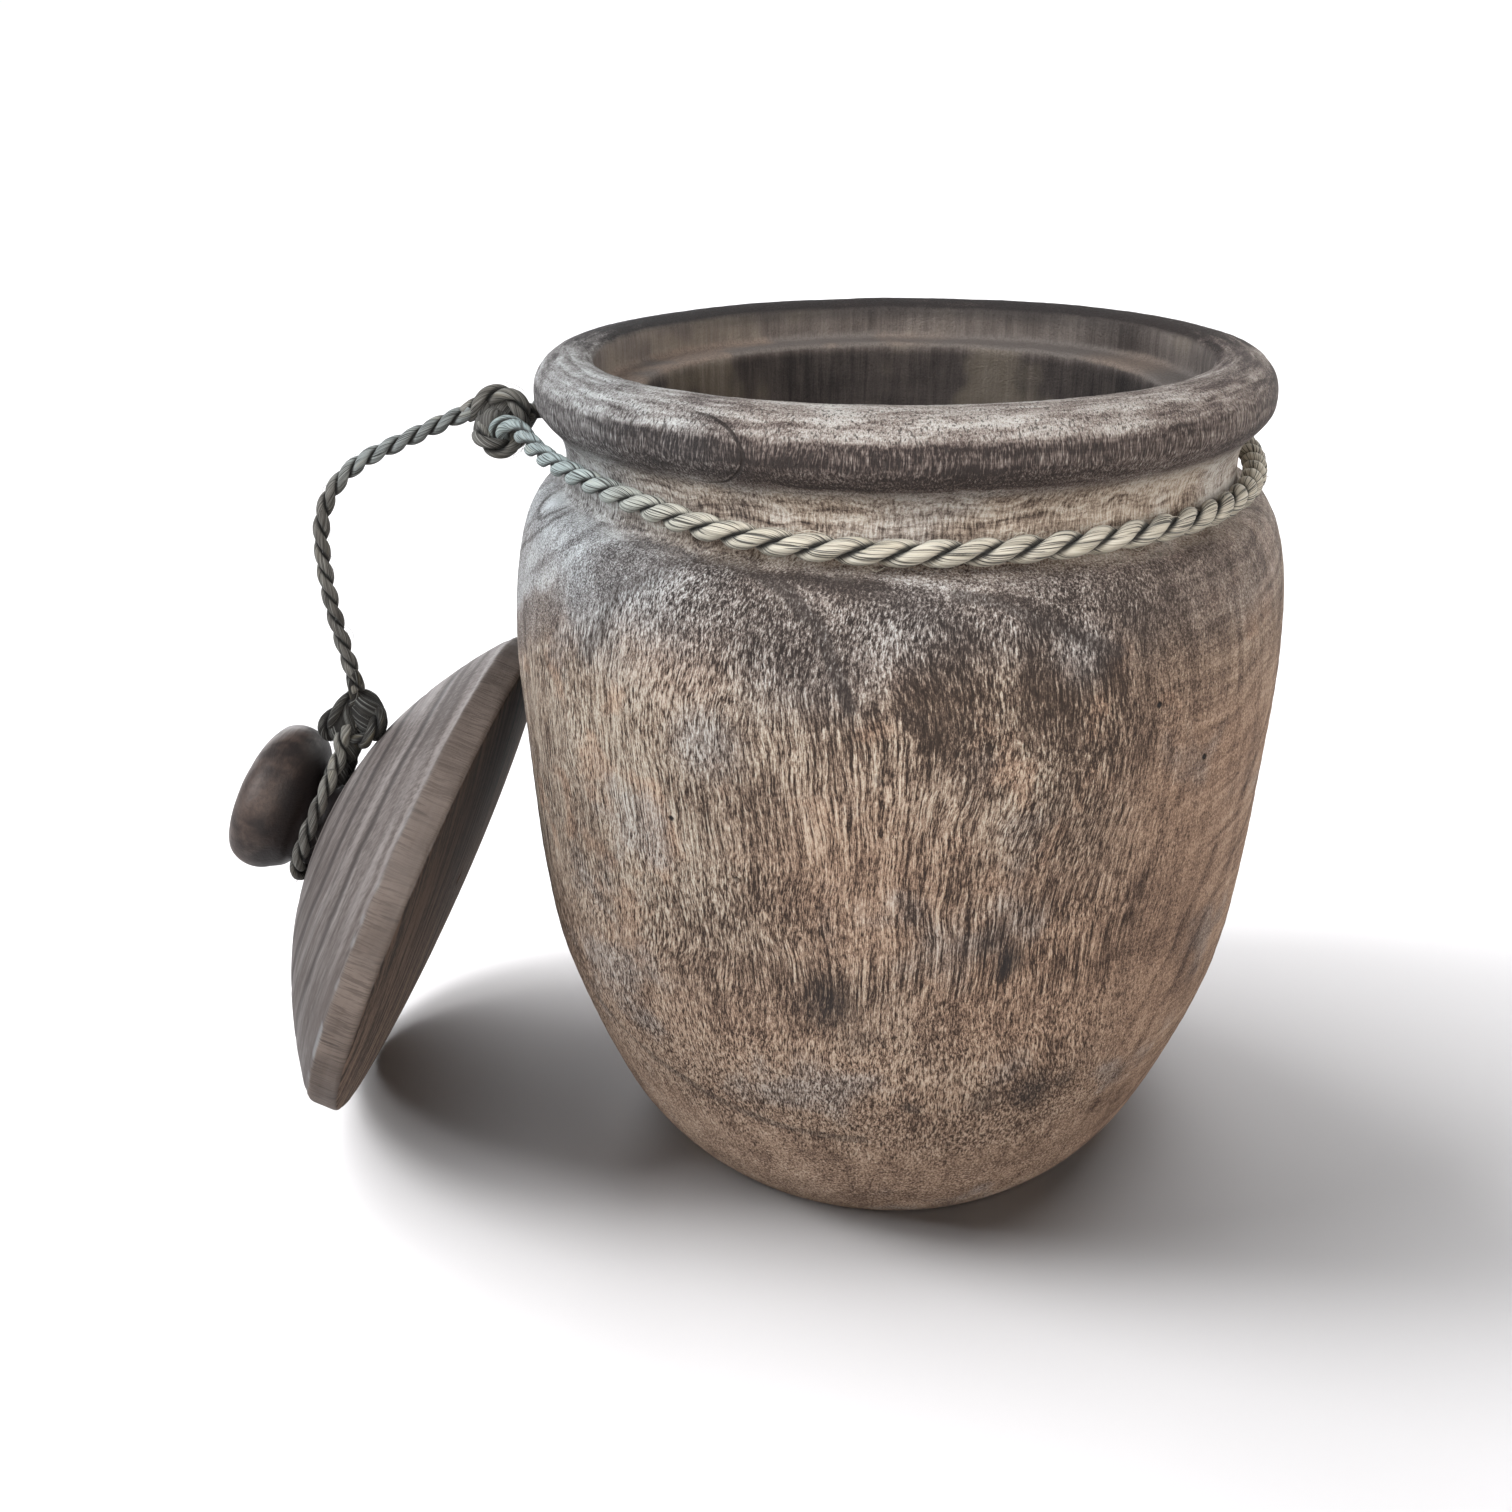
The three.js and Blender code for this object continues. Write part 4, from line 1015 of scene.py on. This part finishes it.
KNOB_TOP = world_to_lid([
    (-146.4, -14.9, 97.5), (-145.5, -13.7, 99.7), (-144.7, -12.8, 102.0), (-144.2, -12.8, 104.5), (-143.4, -12.7, 107.0),
    (-142.2, -11.3, 108.8), (-141.1, -9.8, 110.7), (-140.4, -7.8, 112.1), (-141.0, -6.1, 110.7), (-141.4, -6.3, 108.1),
    (-141.4, -6.1, 105.5), (-142.6, -5.8, 103.2), (-144.1, -4.7, 101.4), (-145.5, -3.4, 99.5), (-146.4, -2.1, 97.5),
])
KNOB_RING = [
    (14.5, 10.2, 37.0), (8.4, 13.3, 37.0), (2.0, 14.9, 37.0), (-5.2, 14.1, 37.0), (-11.4, 9.8, 37.0), (-14.7, 3.2, 37.0),
    (-14.7, -3.2, 37.0), (-11.4, -9.8, 37.0), (-5.2, -14.1, 37.0), (2.0, -14.9, 37.0), (8.4, -13.3, 37.0),
    (14.5, -10.2, 37.0),
]
knob_cord, _ = twisted("knob_cord", lid_to_world(np.vstack([KNOB_TOP, KNOB_RING])), 2.1, 13.0, DARK_MAT, closed=True,
                       phase=1.9, seed=41, strays=10, tone=lambda u: 0.38 + 0.40 * ramp(u, 0.35, 0.6) * (1 - ramp(u, 0.9, 1.0)))
legs = lid_to_world([(26.0, 0.0, 37.0), (19.0, -3.4, 36.9), (19.0, 3.4, 36.9)])
along_lid = (math.sin(LEAN), 0.0, math.cos(LEAN))
leg_lump = knot_lump("knob_leg_lump", tuple((tuple(c), along_lid, h, f, q) for c, h, f, q in zip(
    legs, (5.5, 4.5, 4.5), (3.1, 3.0, 3.0), (0.4, 1.2, 2.0))), SHADED_CORD_MAT, "knob_loop", 63, 0.5)
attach(knob_cord, "knob_loop")
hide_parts("knob_rope_loop")

# --------------------------------------------------------------------------------------- pot
OUTSIDE = [
    (56, 0), (59, 0), (61.2, 0.05), (62.9, 0.7), (64.6, 2.6), (67.6, 6.0), (70.6, 10.3), (74.6, 17.2), (77.8, 24.8),
    (81.0, 33.2), (83.7, 41.3), (86.6, 50.5), (89.0, 59.9), (90.4, 68.5), (91.4, 78.5), (92.1, 88.5), (92.6, 99.1),
    (93.0, 109.4), (93.3, 119.8), (93.6, 129.4), (93.6, 138.4), (93.1, 147.2), (92.3, 154.9), (91.1, 161.4),
    (89.4, 167.3), (87.6, 171.2), (85.3, 174.3), (82.8, 175.6), (80.6, 176.6), (79.3, 178.2), (78.8, 180.6),
    (78.6, 183.6), (78.8, 186.4), (79.7, 188.9), (81.4, 191.2), (83.3, 193.2), (84.6, 195.3), (85.0, 197.6),
    (84.7, 200.3), (83.7, 202.6), (81.9, 204.6), (79.4, 205.9), (76.6, 206.4), (73.9, 206.1), (72.0, 205.3),
    (71.1, 204.3), (70.9, 203.0), (70.9, 200.0), (70.9, 198.2), (70.7, 197.3), (70.0, 196.8), (69.0, 196.6),
    (65.5, 196.6), (62.2, 196.6), (61.4, 196.3), (60.95, 195.6), (60.9, 194.4), (60.9, 185.0), (60.9, 176.0),
    (61.8, 164.0), (64.2, 148.0), (66.0, 130.0), (66.2, 112.0), (65.2, 90.0), (62.2, 68.0), (57.0, 50.0),
    (48.5, 35.0), (36.0, 26.0), (20.0, 22.6), (2.0, 22.0),
]


def pot_step(r, z, s):
    if s < 8:
        return 0.9
    if z > 172 and r > 60:
        return 0.75
    if r < 61.5 and z > 20 and s > 260:
        return 3.2
    if s > 300:
        return 2.6
    return 1.35


def build_pot():
    prof = smooth_profile(OUTSIDE, pot_step)
    prof[:, 1] = np.maximum(prof[:, 1], 0.0)
    verts, norms, faces = turned(prof, 320, 0.0, 22.0)
    low = hash_noise(verts / 34.0, 2)
    mid = hash_noise(verts / 11.0, 3)
    fibres = hash_noise(verts * (0.42, 0.42, 0.05), 4)
    r = np.hypot(verts[:, 0], verts[:, 1])
    z = verts[:, 2]
    d = 0.16 * low + 0.08 * mid + 0.07 * fibres
    # the tool left faint level ridges on belly and bead
    d += 0.030 * np.sin(z * 1.35 + 0.8 * low) * ramp(z, 8, 25)
    # a few nicks on the recess's edges
    nick = ramp(hash_noise(verts / (5.0, 5.0, 2.0), 8), 0.35, 0.8)
    edge = np.exp(-((r - 61.3) ** 2 + (z - 196.3) ** 2) / 2.0) + 0.6 * np.exp(-((r - 71.6) ** 2 + (z - 205.2) ** 2) / 2.5)
    d -= 0.55 * nick * edge
    foot = ramp(z, 0.0, 2.5)
    floor = (z < 0.02) & (r < 64)
    d = np.where(floor, 0.0, d * (0.25 + 0.75 * foot))
    verts = verts + norms * d[:, None]
    # small pits where borers came out
    for c, w in (((-30.5, -88.0, 111.1), 0.7), ((66.4, -66.0, 132.2), 0.7), ((53.9, -75.9, 147.9), 0.6)):
        q = np.exp(-((verts - c) ** 2).sum(1) / (w * 1.3) ** 2)
        verts -= norms * (0.5 * q)[:, None]
    verts[:, 2] = np.maximum(verts[:, 2], 0.0)
    return add_mesh("pot_turned", verts, faces, POT_MAT)


pot = build_pot()
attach(pot, "pot")
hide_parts("pot_body")



def build_slivers():
    """fibres that the tool raised on the rough part of the shoulder, and one curled chip"""
    mat_g = Graph("raised_fibres")
    q = mat_g.mm()
    col = mat_g.mix(mat_g.step(mat_g.noise(q, 0.9, 2.0, 0.5), 0.40, 0.60), (0.16, 0.13, 0.11), (0.44, 0.40, 0.36))
    mat = mat_g.finish(col, 0.8, mat_g.bump(mat_g.noise(q, 4.0, 1.0, 0.5), 0.0001, 0.5), spec=0.2)
    rng = np.random.default_rng(77)
    prof = np.array([q for q in OUTSIDE if q[0] > 60 and 3 < q[1] < 200], float)
    verts, faces = [], []

    def tube(points, w0, w1):
        path, _ = catmull(points, 0.22)
        t, n, b = carried_frames(path)
        w = np.linspace(w0, w1, len(path))[:, None, None]
        a = np.linspace(0, 2 * math.pi, 6, endpoint=False)
        v = path[:, None, :] + w * (np.cos(a)[None, :, None] * n[:, None, :] + np.sin(a)[None, :, None] * b[:, None, :])
        start = sum(len(x) for x in verts)
        verts.append(v.reshape(-1, 3))
        faces.extend(grid_faces(len(path), 6, start))
        faces.append([start + j for j in range(5, -1, -1)])
        faces.append([start + (len(path) - 1) * 6 + j for j in range(6)])

    def spot(az, z):
        r = np.interp(z, prof[:, 1], prof[:, 0])
        out = np.array([math.cos(az), math.sin(az), 0.0])
        return out * r + (0, 0, z), out, np.array([-math.sin(az), math.cos(az), 0.0])

    for _ in range(150):
        az = math.radians(rng.normal(-84.0, 8.0))
        z = rng.normal(150.0, 6.5)
        p, out, side = spot(az, min(z, 166.0))
        run = rng.uniform(0.7, 2.0)
        lift = rng.uniform(0.10, 0.45)
        way = side * rng.uniform(-0.9, 0.9) + np.array([0, 0, rng.choice((-1.0, 1.0))])
        tube([p - out * 0.25, p + out * lift * 0.6 + way * run * 0.5, p + out * lift + way * run + side * rng.uniform(-0.3, 0.3)],
             rng.uniform(0.05, 0.09), 0.03)
    p, out, side = spot(math.radians(-94.5), 154.6)
    up = np.array([0, 0, 1.0])
    tube([p - out * 0.2 - up * 1.6 + side * 0.8, p + out * 0.5 - up * 0.2 + side * 0.7, p + out * 0.9 + up * 1.0 + side * 0.1,
          p + out * 0.9 + up * 0.9 - side * 1.0, p + out * 0.6 + up * 0.1 - side * 1.1], 0.26, 0.12)
    return add_mesh("raised_fibres", np.vstack(verts), faces, mat)


slivers = build_slivers()
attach(slivers, "pot")

# ------------------------------------------------------------------------------- lid and knob
def dome(r):
    return 8.0 + 27.0 * (1 - (r / 69.0) ** 2.1)


def build_lid():
    pts = [(1.5, 0), (20, 0), (45, 0), (66.5, 0), (68.0, 0.05), (68.7, 0.35), (69.0, 1.0), (69.05, 1.8), (69.0, 4.5),
           (69.0, 6.8), (68.95, 7.6), (68.6, 8.15), (67.6, 8.8)]
    pts += [(r, dome(r)) for r in (66.2, 64, 61, 57, 52, 46, 40, 33, 26, 19, 13, 8, 3.5)]
    prof = smooth_profile(pts, lambda r, z, s: 0.45 if r > 66 else 1.6)
    prof[:, 1] = np.maximum(prof[:, 1], 0.0)
    verts, norms, faces = turned(prof, 300, 0.0, dome(0.0))
    r = np.hypot(verts[:, 0], verts[:, 1])
    s = verts[:, 2]
    ang = np.arctan2(verts[:, 1], verts[:, 0])
    d = 0.14 * hash_noise(verts / 22.0, 12) + 0.05 * hash_noise(verts / 7.0, 13)
    # lower corner cut by hand in short flats, upper ridge a little uneven
    around = np.stack([np.cos(ang) * 9, np.sin(ang) * 9, ang * 0], 1)
    low = np.exp(-((r - 69) ** 2 + s ** 2) / 1.6)
    top = np.exp(-((r - 68.9) ** 2 + (s - 8.1) ** 2) / 1.6)
    d -= low * (0.18 + 0.35 * np.maximum(0, hash_noise(around, 14)))
    d -= top * (0.10 + 0.25 * np.maximum(0, hash_noise(around * 0.8 + 5, 15)))
    # short flats left by the knife along the upright edge
    flats = np.abs(np.sin(ang * 34 + 2.2 * hash_noise(around * 0.5, 18)))
    d -= 0.16 * flats * ramp(r, 68.2, 68.9)
    # the open grain lines are sunk into the dome
    level = s + 0.5 * hash_noise(verts / 30.0, 16)
    for at in (16.7, 23.6, 31.4):
        d -= 0.12 * np.exp(-((level - at) / 0.45) ** 2) * (r < 67)
    d = np.where(r > 66.0, np.minimum(d, 0.0), d)
    under = (s < 0.02) & (r < 67.5)
    d = np.where(under, np.minimum(0, d) * 0.3 + 3.3 * (1 - np.minimum(r / 67.5, 1.0) ** 2.6), d)
    verts = verts + norms * d[:, None]
    return add_mesh("lid_domed", verts, faces, LID_MAT, matrix=lid_matrix)


def build_knob():
    pts = [(12.1, dome(12.1) + 0.4 - 0.6), (11.95, 35.4), (11.85, 36.4), (11.9, 37.6), (12.1, 38.8), (13.4, 40.6),
           (16.2, 42.3), (18.7, 44.8), (20.1, 47.5), (20.6, 50.2), (20.2, 53.0), (18.9, 55.3), (16.6, 57.0),
           (13.2, 58.1), (9, 58.7), (4.5, 58.88), (1.2, 58.9)]
    prof = smooth_profile(pts, lambda r, z, s: 0.7)
    verts, norms, faces = turned(prof, 112, None, 58.9)
    k = ramp(verts[:, 2], 39.0, 45.5)
    d = 0.35 * hash_noise(verts / 16.0, 22) + 0.08 * hash_noise(verts / 5.0, 23)
    verts = verts + norms * (d * ramp(verts[:, 2], 34.5, 42))[:, None]
    verts[:, 0] += 2.1 * k
    verts[:, 1] += 1.4 * k
    # close the stem inside the dome
    base = len(verts)
    verts = np.vstack([verts, [(0.0, 0.0, dome(12.1) - 0.2)]])
    faces += [[base, (j + 1) % 112, j] for j in range(112)]
    return add_mesh("lid_knob_turned", verts, faces, KNOB_MAT, matrix=lid_matrix)


lid = build_lid()
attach(lid, "lid")
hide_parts("lid")
knob = build_knob()
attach(knob, "lid")
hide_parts("lid_knob")


# ---------------------------------------------------------------------------- floor and light
def build_floor():
    g = Graph("floor_white")
    p = g.mm()
    v = g.noise(p, 0.002, 1.0, 0.5)
    col = g.mix(v, (0.575, 0.572, 0.577), (0.590, 0.587, 0.592))
    normal = g.bump(g.noise(p, 0.05, 2.0, 0.5), 0.0001, 0.1)
    mat = g.finish(col, 0.9, normal, spec=0.0)
    rings = [0.0005, 0.2, 0.6, 1.5, 3.0, 6.0]
    a = np.linspace(0, 2 * math.pi, 96, endpoint=False)
    verts = np.vstack([np.stack([r / MM * np.cos(a), r / MM * np.sin(a), np.full(96, -0.02)], 1) for r in rings])
    return add_mesh("floor", verts, grid_faces(len(rings), 96), mat)


floor = build_floor()
pieces = [pot, lid, knob, neck_cord, neck_knot, knob_knot, knob_cord, tether, neck_lump, knob_lump, leg_lump, slivers]

on_floor = bpy.data.collections.new("lit_floor")
on_floor.objects.link(floor)
on_object = bpy.data.collections.new("lit_object")
for o in pieces:
    on_object.objects.link(o)


def aim(obj, target):
    d = Vector(target) - obj.location
    obj.rotation_euler = d.to_track_quat("-Z", "Y").to_euler()


def sun(name, elevation, azimuth, strength, spread, color, receivers=None):
    data = bpy.data.lights.new(name, "SUN")
    data.energy = strength
    data.angle = math.radians(spread)
    data.color = color
    obj = bpy.data.objects.new(name, data)
    e, a = math.radians(elevation), math.radians(azimuth)
    obj.location = (2 * math.cos(e) * math.cos(a), 2 * math.cos(e) * math.sin(a), 2 * math.sin(e))
    aim(obj, (0, 0, 0))
    bpy.context.scene.collection.objects.link(obj)
    if receivers is not None:
        obj.light_linking.receiver_collection = receivers
    return obj


def area(name, location, target, size, power, color, receivers=None):
    data = bpy.data.lights.new(name, "AREA")
    data.shape = "DISK"
    data.size = size
    data.energy = power
    data.color = color
    obj = bpy.data.objects.new(name, data)
    obj.location = location
    aim(obj, target)
    bpy.context.scene.collection.objects.link(obj)
    if receivers is not None:
        obj.light_linking.receiver_collection = receivers
    return obj


sun("floor_top", 75.0, 30.0, 1.25, 35.0, (1.0, 0.993, 1.0), on_floor)
sun("floor_key", 40.0, 180.0, 2.00, 20.0, (1.0, 0.993, 1.0), on_floor)
sun("floor_wide", 40.0, 165.0, 5.42, 60.0, (1.0, 0.993, 1.0), on_floor)
sun("floor_low", 10.0, 120.0, 4.87, 60.0, (1.0, 0.993, 1.0), on_floor)
sun("floor_graze", 15.0, 180.0, 1.46, 10.0, (1.0, 0.993, 1.0), on_floor)
floor.visible_diffuse = False
area("soft_key", (-0.95, -0.78, 1.10), (0.0, 0.0, 0.12), 1.0, 30.5, (0.94, 0.97, 1.0), on_object)
area("right_fill", (0.95, -0.75, 0.70), (0.0, 0.0, 0.10), 1.2, 15.5, (1.0, 0.96, 0.92), on_object)
area("front_fill", (0.05, -1.30, 0.30), (0.0, 0.0, 0.10), 1.0, 9.6, (1.0, 0.96, 0.92), on_object)
area("overhead", (-0.15, 0.10, 1.50), (0.0, 0.0, 0.10), 2.0, 4.4, (0.97, 0.98, 1.0), on_object)
area("back_left", (-0.90, 1.25, 0.30), (0.0, 0.0, 0.08), 1.2, 18.0, (0.98, 0.98, 1.0), on_object)
area("back_right", (0.85, 1.25, 0.30), (0.0, 0.0, 0.08), 1.2, 16.0, (1.0, 0.98, 0.95), on_object)
area("left_fill", (-1.35, -0.10, 0.45), (0.0, 0.0, 0.10), 1.0, 1.8, (0.96, 0.98, 1.0), on_object)

world = bpy.data.worlds.new("studio")
world.use_nodes = True
nt = world.node_tree
nt.nodes.clear()
wo = nt.nodes.new("ShaderNodeOutputWorld")
mixn = nt.nodes.new("ShaderNodeMixShader")
lp = nt.nodes.new("ShaderNodeLightPath")
fill = nt.nodes.new("ShaderNodeBackground")
# the studio is brighter overhead than low down
way = nt.nodes.new("ShaderNodeTexCoord")
part = nt.nodes.new("ShaderNodeSeparateXYZ")
grade = nt.nodes.new("ShaderNodeValToRGB")
shift = nt.nodes.new("ShaderNodeMath")
shift.operation = "MULTIPLY_ADD"
shift.inputs[1].default_value = 0.5
shift.inputs[2].default_value = 0.5
grade.color_ramp.elements[0].position = 0.30
grade.color_ramp.elements[0].color = (0.019, 0.018, 0.018, 1)
grade.color_ramp.elements[1].position = 0.95
grade.color_ramp.elements[1].color = (0.078, 0.080, 0.084, 1)
mid = grade.color_ramp.elements.new(0.56)
mid.color = (0.044, 0.043, 0.043, 1)
nt.links.new(way.outputs["Generated"], part.inputs[0])
nt.links.new(part.outputs[2], shift.inputs[0])
nt.links.new(shift.outputs[0], grade.inputs[0])
nt.links.new(grade.outputs[0], fill.inputs[0])
fill.inputs[1].default_value = 1.0
back = nt.nodes.new("ShaderNodeBackground")
back.inputs[0].default_value = (1.0, 0.995, 1.0, 1)
back.inputs[1].default_value = 1.02
nt.links.new(lp.outputs["Is Camera Ray"], mixn.inputs[0])
nt.links.new(fill.outputs[0], mixn.inputs[1])
nt.links.new(back.outputs[0], mixn.inputs[2])
nt.links.new(mixn.outputs[0], wo.inputs[0])
bpy.context.scene.world = world

view = bpy.context.scene.view_settings
view.view_transform = "Standard"
view.look = "None"
view.exposure = 0.0
view.gamma = 1.0
